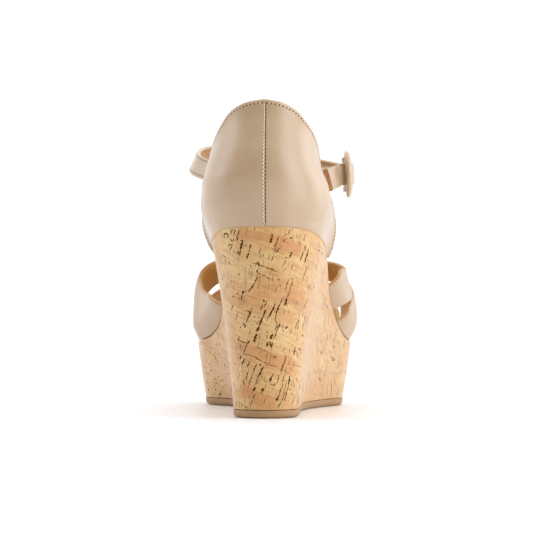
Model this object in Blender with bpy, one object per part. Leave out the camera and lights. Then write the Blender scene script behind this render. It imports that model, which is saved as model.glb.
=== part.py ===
"""Right wedge sandal with a closed heel, crossed vamp straps and a buckled ankle strap.

+Y runs from heel to toe, +X to the outer side of the foot, +Z up from the floor.
Sizes are millimetres and become metres when a mesh is made.
"""

import math
from collections import namedtuple

import bmesh
import bpy
import numpy as np

MM = 0.001

# Driving sizes of the shoe
SHOE_LENGTH = 232.0
BALL_WIDTH = 86.5
HEEL_HEIGHT = 100.3
PLATFORM_HEIGHT = 36.6
COUNTER_PEAK = 166.7
INSTEP_HEIGHT = 63.6

# Sole
GAP = 0.3
OUTSOLE_THICKNESS = 4.0
OUTSOLE_EDGE = 1.3
CORK_EDGE = 0.8
TREAD_HEEL_BACK = 9.0
TREAD_TOE_TIP = 225.0
HEEL_ROUND = 35.0
TREAD_HEEL_ROUND = 20.0
TOE_ROUND = 58.0
TOE_POWER = 2.2
SPRING_START = 172.0
TOE_SPRING = 9.0
INSOLE_THICKNESS = 5.0
INSOLE_INSET = 3.2
INSOLE_EDGE = 1.0
SOLE_STATIONS = 36

# Upper
COUNTER_WALL = 2.2
COUNTER_COLUMNS = 46
COUNTER_ROWS = 9
COUNTER_BACK_ARC = 48.0
STRAP_WALL = 1.9
STRAP_ROWS = 40
STRAP_COLUMNS = 8
FEATHER_TUCK = 0.5
WIDEST_HEIGHT = 10.4
DOME_POWER = 3.4
DOME_TILT = 0.13
CROSSING_LIFT = 1.1

# Ankle strap and buckle
ANKLE_WIDTH = 12.0
ANKLE_WALL = 2.0
ANKLE_ROWS = 84
TAB_WIDTH = 10.0
TAB_ROWS = 20
RING_CENTRE = (40.6, 86.0, 130.4)
RING_LEAN = 6.0
RING_YAW = 2.0
RING_OUTER = (12.2, 12.6)
RING_INNER = (7.0, 7.4)
RING_OUTER_POWER = 2.5
RING_INNER_POWER = 4.5
RING_HALF_THICKNESS = 1.8
RING_STEPS = 40
RING_SECTION = 10
BAR_RADIUS = 0.9
PRONG_RADIUS = 0.75
PRONG_HOLE_RADIUS = 1.8

SeatRow = namedtuple("SeatRow", "along rise")
OutlineRow = namedtuple("OutlineRow", "along centre half")
HollowRow = namedtuple("HollowRow", "along depth")
EdgeRow = namedtuple("EdgeRow", "arc inner drop")
SwellRow = namedtuple("SwellRow", "height back outer inner")
DomeRow = namedtuple("DomeRow", "along height outer inner")
StrapRow = namedtuple("StrapRow", "girth back front")
LiftRow = namedtuple("LiftRow", "girth lift")
RouteRow = namedtuple("RouteRow", "x y z lean")
RodRow = namedtuple("RodRow", "out along up")

# Feather line: share of the length, share of the rise from platform to heel
SEAT_LINE = (
    SeatRow(0.000, 1.000),
    SeatRow(0.108, 0.965),
    SeatRow(0.216, 0.868),
    SeatRow(0.323, 0.690),
    SeatRow(0.431, 0.442),
    SeatRow(0.539, 0.208),
    SeatRow(0.625, 0.062),
    SeatRow(0.690, 0.010),
    SeatRow(0.797, 0.000),
    SeatRow(0.905, 0.018),
    SeatRow(1.000, 0.055),
)

# Top edge of the wedge: share of the length, shares of the ball width
FEATHER_OUTLINE = (
    OutlineRow(0.000, -0.002, 0.349),
    OutlineRow(0.151, -0.002, 0.349),
    OutlineRow(0.280, 0.003, 0.347),
    OutlineRow(0.409, 0.012, 0.339),
    OutlineRow(0.539, 0.010, 0.377),
    OutlineRow(0.625, -0.008, 0.439),
    OutlineRow(0.690, -0.034, 0.499),
    OutlineRow(0.767, -0.050, 0.511),
    OutlineRow(0.862, -0.069, 0.493),
    OutlineRow(1.000, -0.095, 0.440),
)

# Edge of the tread on the floor, in the same shares
TREAD_OUTLINE = (
    OutlineRow(0.000, -0.010, 0.198),
    OutlineRow(0.129, -0.010, 0.198),
    OutlineRow(0.259, -0.006, 0.193),
    OutlineRow(0.388, 0.000, 0.184),
    OutlineRow(0.483, 0.006, 0.202),
    OutlineRow(0.560, 0.004, 0.256),
    OutlineRow(0.647, 0.004, 0.330),
    OutlineRow(0.724, -0.035, 0.440),
    OutlineRow(0.797, -0.057, 0.472),
    OutlineRow(0.884, -0.077, 0.459),
    OutlineRow(1.000, -0.090, 0.400),
)

# Hollow of the wedge's flanks: share of the length, depth, below zero where they swell
FLANK_HOLLOW = (
    HollowRow(0.000, 0.8),
    HollowRow(0.450, 0.8),
    HollowRow(0.680, -0.5),
    HollowRow(1.000, -0.3),
)

# Top line of the counter: arc from the back on the outer and inner side, drop below the peak
COUNTER_EDGE = (
    EdgeRow(0.0, 0.0, 0.0),
    EdgeRow(10.0, 11.4, 1.2),
    EdgeRow(20.0, 22.4, 4.4),
    EdgeRow(33.5, 35.0, 13.0),
    EdgeRow(51.0, 50.0, 24.2),
    EdgeRow(64.0, 61.5, 34.0),
    EdgeRow(73.0, 69.4, 43.5),
    EdgeRow(79.0, 75.0, 54.0),
    EdgeRow(82.5, 78.4, 65.0),
    EdgeRow(84.0, 79.8, 76.0),
)

# Counter wall: height above the feather line, how far it stands outside that line
COUNTER_SWELL = (
    SwellRow(0.0, -0.5, -0.5, -0.5),
    SwellRow(6.0, 0.8, 2.0, 3.2),
    SwellRow(16.0, 2.8, 3.6, 6.0),
    SwellRow(26.0, 3.6, 2.2, 5.6),
    SwellRow(32.0, 3.0, -0.3, 3.6),
    SwellRow(39.0, 1.6, -2.8, 1.3),
    SwellRow(46.0, -0.6, -4.0, -1.4),
    SwellRow(54.0, -3.0, -5.2, -3.8),
    SwellRow(62.0, -5.4, -6.8, -5.2),
    SwellRow(70.0, -8.0, -9.0, -7.2),
)

# Forefoot dome: share of the length, share of the instep height, reach outside the feather line
DOME = (
    DomeRow(0.388, 1.000, 6.8, 7.0),
    DomeRow(0.474, 0.905, 6.8, 7.2),
    DomeRow(0.560, 0.825, 6.2, 7.4),
    DomeRow(0.647, 0.740, 4.6, 6.0),
    DomeRow(0.733, 0.620, 1.3, 2.3),
    DomeRow(0.819, 0.500, 1.1, 1.4),
    DomeRow(0.940, 0.370, 1.1, 1.4),
)

# Vamp bands: share of the girth from outer to inner feather line, back and front edge
CROSS_BAND = (
    StrapRow(0.000, 128.0, 189.0),
    StrapRow(0.040, 130.4, 192.5),
    StrapRow(0.070, 132.0, 195.0),
    StrapRow(0.115, 139.5, 197.5),
    StrapRow(0.155, 149.0, 196.0),
    StrapRow(0.200, 153.0, 187.5),
    StrapRow(0.270, 154.0, 176.0),
    StrapRow(0.400, 154.0, 170.5),
    StrapRow(0.500, 153.0, 170.5),
    StrapRow(0.600, 152.0, 171.0),
    StrapRow(0.720, 151.2, 180.0),
    StrapRow(0.780, 149.5, 186.0),
    StrapRow(0.815, 145.5, 188.5),
    StrapRow(0.858, 135.5, 189.5),
    StrapRow(0.930, 118.0, 189.5),
    StrapRow(1.000, 111.5, 188.5),
)
SLANT_BAND = (
    StrapRow(0.000, 94.5, 115.5),
    StrapRow(0.045, 95.5, 120.3),
    StrapRow(0.092, 101.5, 131.0),
    StrapRow(0.118, 107.0, 139.5),
    StrapRow(0.170, 121.0, 152.5),
    StrapRow(0.220, 133.5, 161.0),
    StrapRow(0.270, 142.5, 168.5),
    StrapRow(0.330, 150.0, 176.5),
    StrapRow(0.450, 160.5, 187.0),
    StrapRow(0.550, 170.5, 194.5),
    StrapRow(0.650, 183.0, 202.0),
    StrapRow(0.740, 193.5, 208.5),
    StrapRow(0.800, 197.5, 212.0),
    StrapRow(0.900, 201.0, 214.5),
    StrapRow(1.000, 202.0, 215.0),
)

# How far the cross band rides up where it lies over the slant band
CROSS_BAND_LIFT = (
    LiftRow(0.000, 0.0),
    LiftRow(0.020, 0.1),
    LiftRow(0.080, 0.7),
    LiftRow(0.250, 1.0),
    LiftRow(0.560, 1.0),
    LiftRow(0.720, 0.0),
    LiftRow(1.000, 0.0),
)

# Ankle strap from the counter to the buckle, middle of its outer face
ANKLE_ROUTE = (
    RouteRow(-43.8, 86.0, 136.4, 24.0),
    RouteRow(-44.6, 104.0, 140.0, 24.0),
    RouteRow(-38.4, 123.0, 142.4, 19.0),
    RouteRow(-22.0, 136.5, 143.0, 13.0),
    RouteRow(-2.0, 141.0, 141.6, 10.0),
    RouteRow(18.0, 137.0, 136.4, 8.0),
    RouteRow(34.0, 125.5, 132.8, 7.0),
    RouteRow(40.3, 111.0, 131.2, 6.0),
)
ANKLE_ANCHOR_ARCS = (-56.0, -65.0, -73.0)
ANKLE_ANCHOR_HEIGHTS = (126.0, 127.0, 128.2)

# The strap in the buckle, from the ring centre: outward, forward and upward
BUCKLE_WEAVE = (
    RodRow(-2.4, 13.0, 0.4),
    RodRow(-2.4, 8.6, 0.2),
    RodRow(0.2, 4.0, 0.0),
    RodRow(3.0, 0.0, 0.0),
    RodRow(0.2, -4.0, 0.0),
    RodRow(-2.4, -8.6, -0.4),
)

# Tail of the strap behind the buckle
TAIL_ROUTE = (
    RouteRow(35.0, 70.0, 128.0, 8.0),
    RouteRow(31.2, 61.0, 126.4, 9.0),
)

# Buckle tab from the counter, then from the ring centre
TAB_ROUTE = (
    RouteRow(26.7, 64.5, 128.2, 9.0),
    RouteRow(30.8, 72.0, 129.0, 8.0),
)
TAB_WEAVE = (
    RodRow(-5.2, -7.0, -0.3),
    RodRow(-3.2, -2.0, 0.0),
    RodRow(-3.0, 2.5, 0.0),
)
TAB_ANCHOR_ARCS = (52.0, 60.0, 68.0)
TAB_ANCHOR_HEIGHTS = (126.8, 127.4, 128.0)

# Buckle rods from the ring centre: outward, forward and upward
BAR_ROUTE = (
    RodRow(-3.1, 0.0, -10.6),
    RodRow(-3.1, 0.0, -8.2),
    RodRow(-2.4, 0.0, -6.6),
    RodRow(-1.4, 0.0, -5.0),
    RodRow(-1.2, 0.0, 0.0),
    RodRow(-1.4, 0.0, 5.0),
    RodRow(-2.4, 0.0, 6.6),
    RodRow(-3.1, 0.0, 8.2),
    RodRow(-3.1, 0.0, 10.6),
)
PRONG_ROUTE = (
    RodRow(-1.5, 2.0, 0.0),
    RodRow(0.2, 3.6, 0.0),
    RodRow(2.2, 5.8, 0.0),
    RodRow(2.9, 8.2, 0.0),
    RodRow(2.9, 10.8, 0.0),
)
PRONG_HOLE_ALONG = 3.4


def clear_scene():
    """Remove every object that is in the scene."""
    for thing in list(bpy.data.objects):
        bpy.data.objects.remove(thing, do_unlink=True)


def finish(name, colour, roughness, metallic=0.0):
    """Make the material of one sub-part."""
    material = bpy.data.materials.new(name)
    material.use_nodes = True
    shader = material.node_tree.nodes["Principled BSDF"]
    shader.inputs["Base Color"].default_value = (*colour, 1.0)
    shader.inputs["Roughness"].default_value = roughness
    shader.inputs["Metallic"].default_value = metallic
    material.diffuse_color = (*colour, 1.0)
    return material


def smooth(rows, key, value, at):
    """Smooth curve through two columns of a table, with slopes that never overshoot."""
    x = np.array([getattr(row, key) for row in rows], dtype=float)
    y = np.array([getattr(row, value) for row in rows], dtype=float)
    step = np.diff(x)
    rise = np.diff(y) / step
    slope = np.empty_like(y)
    slope[0] = rise[0]
    slope[-1] = rise[-1]
    product = rise[:-1] * rise[1:]
    total = np.where(product > 0.0, rise[:-1] + rise[1:], 1.0)
    slope[1:-1] = np.where(product > 0.0, 2.0 * product / total, 0.0)
    at = np.clip(np.asarray(at, dtype=float), x[0], x[-1])
    i = np.clip(np.searchsorted(x, at, side="right") - 1, 0, len(x) - 2)
    t = (at - x[i]) / step[i]
    left = y[i] * (1.0 + 2.0 * t) * (1.0 - t) ** 2 + slope[i] * step[i] * t * (1.0 - t) ** 2
    right = y[i + 1] * t * t * (3.0 - 2.0 * t) - slope[i + 1] * step[i] * t * t * (1.0 - t)
    return left + right


def seat_height(along):
    """Height of the feather line above the floor."""
    rise = HEEL_HEIGHT - PLATFORM_HEIGHT
    return PLATFORM_HEIGHT + rise * smooth(SEAT_LINE, "along", "rise", np.asarray(along) / SHOE_LENGTH)


def tread_lift(along):
    """Toe spring of the tread."""
    ahead = np.clip((np.asarray(along) - SPRING_START) / (TREAD_TOE_TIP - SPRING_START), 0.0, 1.0)
    return TOE_SPRING * ahead * ahead


def outline(rows, heel_back, toe_tip, heel_round, stations):
    """Plan outline from the heel back along the outer side to the toe and back inside."""
    t = np.linspace(0.0, 1.0, stations + 1)
    along = heel_back + (toe_tip - heel_back) * (1.0 - np.cos(math.pi * t)) / 2.0
    share = along / SHOE_LENGTH
    centre = BALL_WIDTH * smooth(rows, "along", "centre", share)
    half = BALL_WIDTH * smooth(rows, "along", "half", share)
    behind = np.clip((heel_back + heel_round - along) / heel_round, 0.0, 1.0)
    ahead = np.clip((along - toe_tip + TOE_ROUND) / TOE_ROUND, 0.0, 1.0)
    half = half * np.sqrt(1.0 - behind**2) * (1.0 - ahead**TOE_POWER) ** (1.0 / TOE_POWER)
    outer = np.column_stack((centre + half, along))
    inner = np.column_stack((centre - half, along))
    return np.vstack((outer, inner[-2:0:-1]))


def outward(loop):
    """Unit vectors that point out of a closed plan outline."""
    along = np.roll(loop, -1, axis=0) - np.roll(loop, 1, axis=0)
    across = np.column_stack((along[:, 1], -along[:, 0]))
    return across / np.linalg.norm(across, axis=1, keepdims=True)


def raised(loop, height):
    """Plan outline with a height for each point."""
    return np.column_stack((loop, np.broadcast_to(height, len(loop))))


def add_object(name, points, faces, material, parent, smooth_shaded=True):
    """Object made from points in millimetres, parented to the shoe."""
    mesh = bpy.data.meshes.new(name)
    shape = bmesh.new()
    corners = [shape.verts.new(tuple(float(v) * MM for v in point)) for point in points]
    for face in faces:
        shape.faces.new([corners[i] for i in face])
    shape.to_mesh(mesh)
    shape.free()
    mesh.polygons.foreach_set("use_smooth", [smooth_shaded] * len(mesh.polygons))
    mesh.materials.append(material)
    thing = bpy.data.objects.new(name, mesh)
    bpy.context.scene.collection.objects.link(thing)
    thing.parent = parent
    return thing


def stacked(name, loops, material, parent):
    """Solid closed between plan loops that are stacked from the floor up."""
    count = len(loops[0])
    half = count // 2
    faces = []
    for level in range(len(loops) - 1):
        low = level * count
        high = low + count
        for i in range(count):
            j = (i + 1) % count
            faces.append((low + i, low + j, high + j, high + i))
    top = (len(loops) - 1) * count
    for i in range(half):
        ring = (i, i + 1, (count - i - 1) % count, (count - i) % count)
        corners = tuple(dict.fromkeys(ring))
        faces.append(tuple(top + k for k in corners))
        faces.append(tuple(reversed(corners)))
    return add_object(name, np.vstack(loops), faces, material, parent)


def sheet(name, grid, wall, material, parent):
    """Leather of an even wall behind a grid of points on its outer face."""
    rows, columns = grid.shape[:2]
    faces = []
    for r in range(rows - 1):
        for c in range(columns - 1):
            a = r * columns + c
            faces.append((a, a + 1, a + columns + 1, a + columns))
    thing = add_object(name, grid.reshape(-1, 3), faces, material, parent)
    solid = thing.modifiers.new("Wall", "SOLIDIFY")
    solid.thickness = wall * MM
    solid.offset = -1.0
    solid.use_even_offset = True
    solid.use_quality_normals = True
    return thing


def make_outsole(material, parent):
    """Rubber sheet under the sole with a rounded lower edge and toe spring."""
    edge = outline(TREAD_OUTLINE, TREAD_HEEL_BACK, TREAD_TOE_TIP, TREAD_HEEL_ROUND, SOLE_STATIONS)
    foot = edge - outward(edge) * OUTSOLE_EDGE
    lift = tread_lift(edge[:, 1])
    loops = (
        raised(foot, tread_lift(foot[:, 1])),
        raised(edge, lift + OUTSOLE_EDGE),
        raised(edge, lift + OUTSOLE_THICKNESS),
    )
    return stacked("outsole", loops, material, parent)


def make_wedge(material, parent):
    """Cork-covered heel and platform ruled from the tread up to the feather line."""
    low = outline(TREAD_OUTLINE, TREAD_HEEL_BACK, TREAD_TOE_TIP, TREAD_HEEL_ROUND, SOLE_STATIONS)
    high = outline(FEATHER_OUTLINE, 0.0, SHOE_LENGTH, HEEL_ROUND, SOLE_STATIONS)
    floor = tread_lift(low[:, 1]) + OUTSOLE_THICKNESS + GAP
    seat = seat_height(high[:, 1])
    hollow = outward(high) * smooth(FLANK_HOLLOW, "along", "depth", high[:, 1:] / SHOE_LENGTH)
    loops = []
    for share in np.linspace(0.0, 1.0, 6):
        dip = 4.0 * share * (1.0 - share)
        plan = low + (high - low) * share - hollow * dip
        loops.append(raised(plan, floor + (seat - CORK_EDGE - floor) * share))
    loops.append(raised(high - outward(high) * CORK_EDGE, seat))
    return stacked("wedge", loops, material, parent)


def make_insole(material, parent):
    """Padded footbed that lies on the wedge inside the standing leather."""
    high = outline(FEATHER_OUTLINE, 0.0, SHOE_LENGTH, HEEL_ROUND, SOLE_STATIONS)
    rim = high - outward(high) * INSOLE_INSET
    crown = high - outward(high) * (INSOLE_INSET + INSOLE_EDGE)
    seat = seat_height(high[:, 1]) + GAP
    loops = (
        raised(rim, seat),
        raised(rim, seat + INSOLE_THICKNESS - INSOLE_EDGE),
        raised(crown, seat + INSOLE_THICKNESS),
    )
    return stacked("insole", loops, material, parent)


def feather_path():
    """Dense feather line and its outward directions, with arc from the heel back."""
    loop = outline(FEATHER_OUTLINE, 0.0, SHOE_LENGTH, HEEL_ROUND, 400)
    away = outward(loop)
    half = len(loop) // 2
    loop = np.roll(loop, half, axis=0)
    away = np.roll(away, half, axis=0)
    steps = np.linalg.norm(np.diff(loop, axis=0), axis=1)
    arc = np.concatenate(([0.0], np.cumsum(steps)))
    return arc - arc[half], loop, away


def counter_point(path, arc, height):
    """Outer face of the counter at an arc from the back and a height above the floor."""
    arcs, loop, away = path
    plan = np.column_stack([np.interp(arc, arcs, loop[:, k]) for k in (0, 1)])
    out = np.column_stack([np.interp(arc, arcs, away[:, k]) for k in (0, 1)])
    above = height - seat_height(plan[:, 1])
    share = np.clip(np.abs(arc) / COUNTER_BACK_ARC, 0.0, 1.0)
    turn = share * share * (3.0 - 2.0 * share)
    back = smooth(COUNTER_SWELL, "height", "back", above)
    outer = smooth(COUNTER_SWELL, "height", "outer", above)
    inner = smooth(COUNTER_SWELL, "height", "inner", above)
    swell = back * (1.0 - turn) + np.where(arc > 0.0, outer, inner) * turn
    return np.column_stack((plan + out * swell[:, None], height)), out


def make_counter(path, material, parent):
    """Closed heel cup that stands on the rim of the wedge."""
    turn = np.sin(np.linspace(math.pi / 2.0, -math.pi / 2.0, COUNTER_COLUMNS + 1))
    arc = turn * COUNTER_EDGE[-1].arc
    top = COUNTER_PEAK - smooth(COUNTER_EDGE, "arc", "drop", np.abs(arc))
    arc = np.where(arc > 0.0, arc, -smooth(COUNTER_EDGE, "arc", "inner", np.abs(arc)))
    arcs, loop, _ = path
    seat = seat_height(np.interp(arc, arcs, loop[:, 1])) + GAP
    levels = []
    for share in np.linspace(0.0, 1.0, COUNTER_ROWS + 1):
        levels.append(counter_point(path, arc, seat + (top - seat) * share)[0])
    return sheet("heel_counter", np.stack(levels, axis=1), COUNTER_WALL, material, parent)


def dome_table():
    """Points of the last over the forefoot, by station and by share of the girth."""
    stations = np.linspace(DOME[0].along, DOME[-1].along, 97) * SHOE_LENGTH
    share = np.linspace(0.0, 1.0, 161)
    centre = BALL_WIDTH * smooth(FEATHER_OUTLINE, "along", "centre", stations / SHOE_LENGTH)
    half = BALL_WIDTH * smooth(FEATHER_OUTLINE, "along", "half", stations / SHOE_LENGTH)
    ahead = np.clip((stations - SHOE_LENGTH + TOE_ROUND) / TOE_ROUND, 0.0, 1.0)
    half = half * (1.0 - ahead**TOE_POWER) ** (1.0 / TOE_POWER)
    height = INSTEP_HEIGHT * smooth(DOME, "along", "height", stations / SHOE_LENGTH)
    outer = smooth(DOME, "along", "outer", stations / SHOE_LENGTH)
    inner = smooth(DOME, "along", "inner", stations / SHOE_LENGTH)
    table = np.empty((len(stations), len(share), 2))
    for row, (middle, reach, tall, along) in enumerate(zip(centre, half, height, stations)):
        outer_foot = math.acos((reach - FEATHER_TUCK) / (reach + outer[row]))
        inner_foot = math.acos((reach - FEATHER_TUCK) / (reach + inner[row]))
        angle = np.linspace(-outer_foot, math.pi + inner_foot, 900)
        level = np.sin(angle)
        side = np.cos(angle)
        wide = reach + np.where(side > 0.0, outer[row], inner[row])
        dip = np.where(side > 0.0, math.sin(outer_foot), math.sin(inner_foot))
        upper = level >= 0.0
        power = 2.0 / DOME_POWER
        arch = np.sign(side) * np.abs(side) ** power
        x = middle + wide * np.where(upper, arch, side)
        rise = (tall - WIDEST_HEIGHT) * np.abs(level) ** power * (1.0 - DOME_TILT * side)
        z = WIDEST_HEIGHT + np.where(upper, rise, WIDEST_HEIGHT * level / dip)
        girth = np.concatenate(([0.0], np.cumsum(np.hypot(np.diff(x), np.diff(z)))))
        girth = girth / girth[-1]
        base = float(seat_height(along)) + GAP
        table[row, :, 0] = np.interp(share, girth, x)
        table[row, :, 1] = base + np.interp(share, girth, z)
    return stations, share, table


def dome_point(dome, girth, along):
    """Point of the last at shares of the girth and distances along the shoe."""
    stations, shares, table = dome
    row = np.interp(along, stations, np.arange(len(stations)))
    column = np.interp(girth, shares, np.arange(len(shares)))
    r = np.minimum(row.astype(int), len(stations) - 2)
    c = np.minimum(column.astype(int), len(shares) - 2)
    u = (row - r)[..., None]
    v = (column - c)[..., None]
    near = table[r, c] * (1.0 - v) + table[r, c + 1] * v
    far = table[r + 1, c] * (1.0 - v) + table[r + 1, c + 1] * v
    spot = near * (1.0 - u) + far * u
    return np.stack((spot[..., 0], along, spot[..., 1]), axis=-1)


def surface_normals(grid):
    """Unit normals of a grid of points, on the outer side."""
    down = np.gradient(grid, axis=0)
    across = np.gradient(grid, axis=1)
    normal = np.cross(across, down)
    return normal / np.linalg.norm(normal, axis=-1, keepdims=True)


def band_grid(dome, rows, lift):
    """Outer face of one vamp band between its back and front edges."""
    girth = np.linspace(0.0, 1.0, STRAP_ROWS + 1)
    back = smooth(rows, "girth", "back", girth)
    front = smooth(rows, "girth", "front", girth)
    across = np.linspace(0.0, 1.0, STRAP_COLUMNS + 1)
    along = back[:, None] + (front - back)[:, None] * across[None, :]
    share = np.broadcast_to(girth[:, None], along.shape)
    grid = dome_point(dome, share, along)
    rise = lift * smooth(CROSS_BAND_LIFT, "girth", "lift", girth)
    return grid + surface_normals(grid) * rise[:, None, None]


def make_vamp(material, parent):
    """Two crossed bands joined into one piece."""
    dome = dome_table()
    under = band_grid(dome, SLANT_BAND, 0.0)
    over = band_grid(dome, CROSS_BAND, CROSSING_LIFT)
    vamp = sheet("vamp_straps", under, STRAP_WALL, material, parent)
    upper_band = sheet("cross_band_shape", over, STRAP_WALL, material, parent)
    join(vamp, upper_band, "UNION")
    return vamp


def join(thing, other, operation):
    """Combine a hidden shape with an object."""
    other.hide_render = True
    other.display_type = "WIRE"
    change = thing.modifiers.new("Join", "BOOLEAN")
    change.operation = operation
    change.solver = "EXACT"
    change.object = other


def counter_anchor(path, arcs, heights, width):
    """Rows of a route that lies flat against the inside of the counter."""
    arc = np.array(arcs, dtype=float)
    middle = np.array(heights, dtype=float)
    low, out = counter_point(path, arc, middle - width / 2.0)
    high, _ = counter_point(path, arc, middle + width / 2.0)
    spot = (low + high) / 2.0
    spot[:, :2] -= out * (COUNTER_WALL + 2.0 * GAP)
    lean = np.degrees(np.arctan2(((low - high)[:, :2] * out).sum(axis=1), width))
    return np.column_stack((spot, lean))


def buckle_rows(rows):
    """Rows of a route given from the ring centre."""
    return np.column_stack((buckle_points(rows), np.full(len(rows), RING_LEAN)))


def through(points, count):
    """Smooth path through points, evenly spaced."""
    step = np.linalg.norm(np.diff(points[:, :3], axis=0), axis=1)
    knot = np.concatenate(([0.0], np.cumsum(step)))
    slope = np.gradient(points, knot, axis=0)
    at = np.linspace(0.0, knot[-1], count + 1)
    i = np.clip(np.searchsorted(knot, at, side="right") - 1, 0, len(knot) - 2)
    span = step[i][:, None]
    t = ((at - knot[i]) / step[i])[:, None]
    left = points[i] * (1.0 + 2.0 * t) * (1.0 - t) ** 2 + slope[i] * span * t * (1.0 - t) ** 2
    right = points[i + 1] * t * t * (3.0 - 2.0 * t) - slope[i + 1] * span * t * t * (1.0 - t)
    return left + right


def ribbon(path, width):
    """Grid of a strap that stands on edge along a path and leans inward at its top."""
    spot = path[:, :3]
    lean = np.radians(path[:, 3])[:, None]
    run = np.gradient(spot, axis=0)
    side = np.column_stack((-run[:, 1], run[:, 0], np.zeros(len(run))))
    side = side / np.linalg.norm(side, axis=1, keepdims=True)
    upright = np.array([[0.0, 0.0, 1.0]]) * np.cos(lean) - side * np.sin(lean)
    across = np.array([-0.5, 0.0, 0.5]) * width
    return spot[:, None, :] + upright[:, None, :] * across[None, :, None]


def ring_axes():
    """Outward, forward and upward directions of the buckle."""
    lean = math.radians(RING_LEAN)
    yaw = math.radians(RING_YAW)
    forward = np.array([math.sin(yaw), math.cos(yaw), 0.0])
    side = np.array([math.cos(yaw), -math.sin(yaw), 0.0])
    level = np.array([0.0, 0.0, 1.0])
    return side * math.cos(lean) + level * math.sin(lean), forward, level * math.cos(lean) - side * math.sin(lean)


def buckle_points(rows):
    """Places given from the ring centre, in the frame of the shoe."""
    out, forward, up = ring_axes()
    spots = np.array(rows, dtype=float)
    return np.array(RING_CENTRE) + spots[:, :1] * out + spots[:, 1:2] * forward + spots[:, 2:] * up


def oval(reach, power, angle):
    """Rounded rectangle in the plane of the buckle."""
    side = np.cos(angle)
    level = np.sin(angle)
    along = reach[0] * np.sign(side) * np.abs(side) ** (2.0 / power)
    up = reach[1] * np.sign(level) * np.abs(level) ** (2.0 / power)
    return np.column_stack((along, up))


def make_ring(material, parent):
    """Leather-covered ring of the buckle."""
    angle = np.arange(RING_STEPS) * 2.0 * math.pi / RING_STEPS
    outer = oval(RING_OUTER, RING_OUTER_POWER, angle)
    inner = oval(RING_INNER, RING_INNER_POWER, angle)
    turn = np.arange(RING_SECTION) * 2.0 * math.pi / RING_SECTION
    middle = (outer + inner) / 2.0
    reach = (outer - inner) / 2.0
    rows = []
    for step in turn:
        plane = middle + reach * math.cos(step)
        out = np.full(len(angle), RING_HALF_THICKNESS * math.sin(step))
        rows.append(buckle_points(np.column_stack((out, plane))))
    faces = []
    for r in range(RING_SECTION):
        for c in range(RING_STEPS):
            a = r * RING_STEPS + c
            b = r * RING_STEPS + (c + 1) % RING_STEPS
            d = ((r + 1) % RING_SECTION) * RING_STEPS
            faces.append((a, b, d + (c + 1) % RING_STEPS, d + c))
    return add_object("buckle_ring", np.vstack(rows), faces, material, parent)


def make_rod(name, points, radius, material, parent):
    """Round rod along a path, closed at both ends."""
    run = np.gradient(points, axis=0)
    run = run / np.linalg.norm(run, axis=1, keepdims=True)
    lead = points[-1] - points[0]
    helper = np.cross(ring_axes()[0], lead)
    first = np.cross(run, helper / np.linalg.norm(helper))
    first = first / np.linalg.norm(first, axis=1, keepdims=True)
    second = np.cross(run, first)
    sides = 10
    count = len(points)
    turn = np.arange(sides) * 2.0 * math.pi / sides
    rings = [
        points + radius * (first * math.cos(step) + second * math.sin(step)) for step in turn
    ]
    corners = np.stack(rings, axis=1).reshape(-1, 3)
    faces = [tuple(reversed(range(sides))), tuple((count - 1) * sides + k for k in range(sides))]
    for r in range(count - 1):
        for c in range(sides):
            a = r * sides + c
            b = r * sides + (c + 1) % sides
            faces.append((a, b, b + sides, a + sides))
    return add_object(name, corners, faces, material, parent)


def make_ankle_strap(path, material, parent):
    """Strap from the inner side of the counter, through the buckle to its cut end."""
    anchor = counter_anchor(path, ANKLE_ANCHOR_ARCS, ANKLE_ANCHOR_HEIGHTS, ANKLE_WIDTH)
    points = np.vstack((anchor, ANKLE_ROUTE, buckle_rows(BUCKLE_WEAVE), TAIL_ROUTE))
    grid = ribbon(through(points, ANKLE_ROWS), ANKLE_WIDTH)
    strap = sheet("ankle_strap", grid, ANKLE_WALL, material, parent)
    ends = buckle_points([(-6.0, PRONG_HOLE_ALONG, 0.0), (6.0, PRONG_HOLE_ALONG, 0.0)])
    punch = make_rod("prong_hole_shape", ends, PRONG_HOLE_RADIUS, material, parent)
    join(strap, punch, "DIFFERENCE")
    return strap


def make_tab(path, material, parent):
    """Tab from the outer side of the counter to the back of the buckle."""
    anchor = counter_anchor(path, TAB_ANCHOR_ARCS, TAB_ANCHOR_HEIGHTS, TAB_WIDTH)
    points = np.vstack((anchor, TAB_ROUTE, buckle_rows(TAB_WEAVE)))
    grid = ribbon(through(points, TAB_ROWS)[::-1], TAB_WIDTH)
    return sheet("buckle_tab", grid, ANKLE_WALL, material, parent)


def centre_on_floor(root, things):
    """Move the shoe so that the middle of its box stands over the origin."""
    bpy.context.view_layer.update()
    shapes = bpy.context.evaluated_depsgraph_get()
    corners = []
    for thing in things:
        mesh = thing.evaluated_get(shapes).to_mesh()
        places = np.empty(len(mesh.vertices) * 3)
        mesh.vertices.foreach_get("co", places)
        corners.append(places.reshape(-1, 3))
    everything = np.vstack(corners)
    low = everything.min(axis=0)
    high = everything.max(axis=0)
    root.location = (-(low[0] + high[0]) / 2.0, -(low[1] + high[1]) / 2.0, -low[2])


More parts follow.
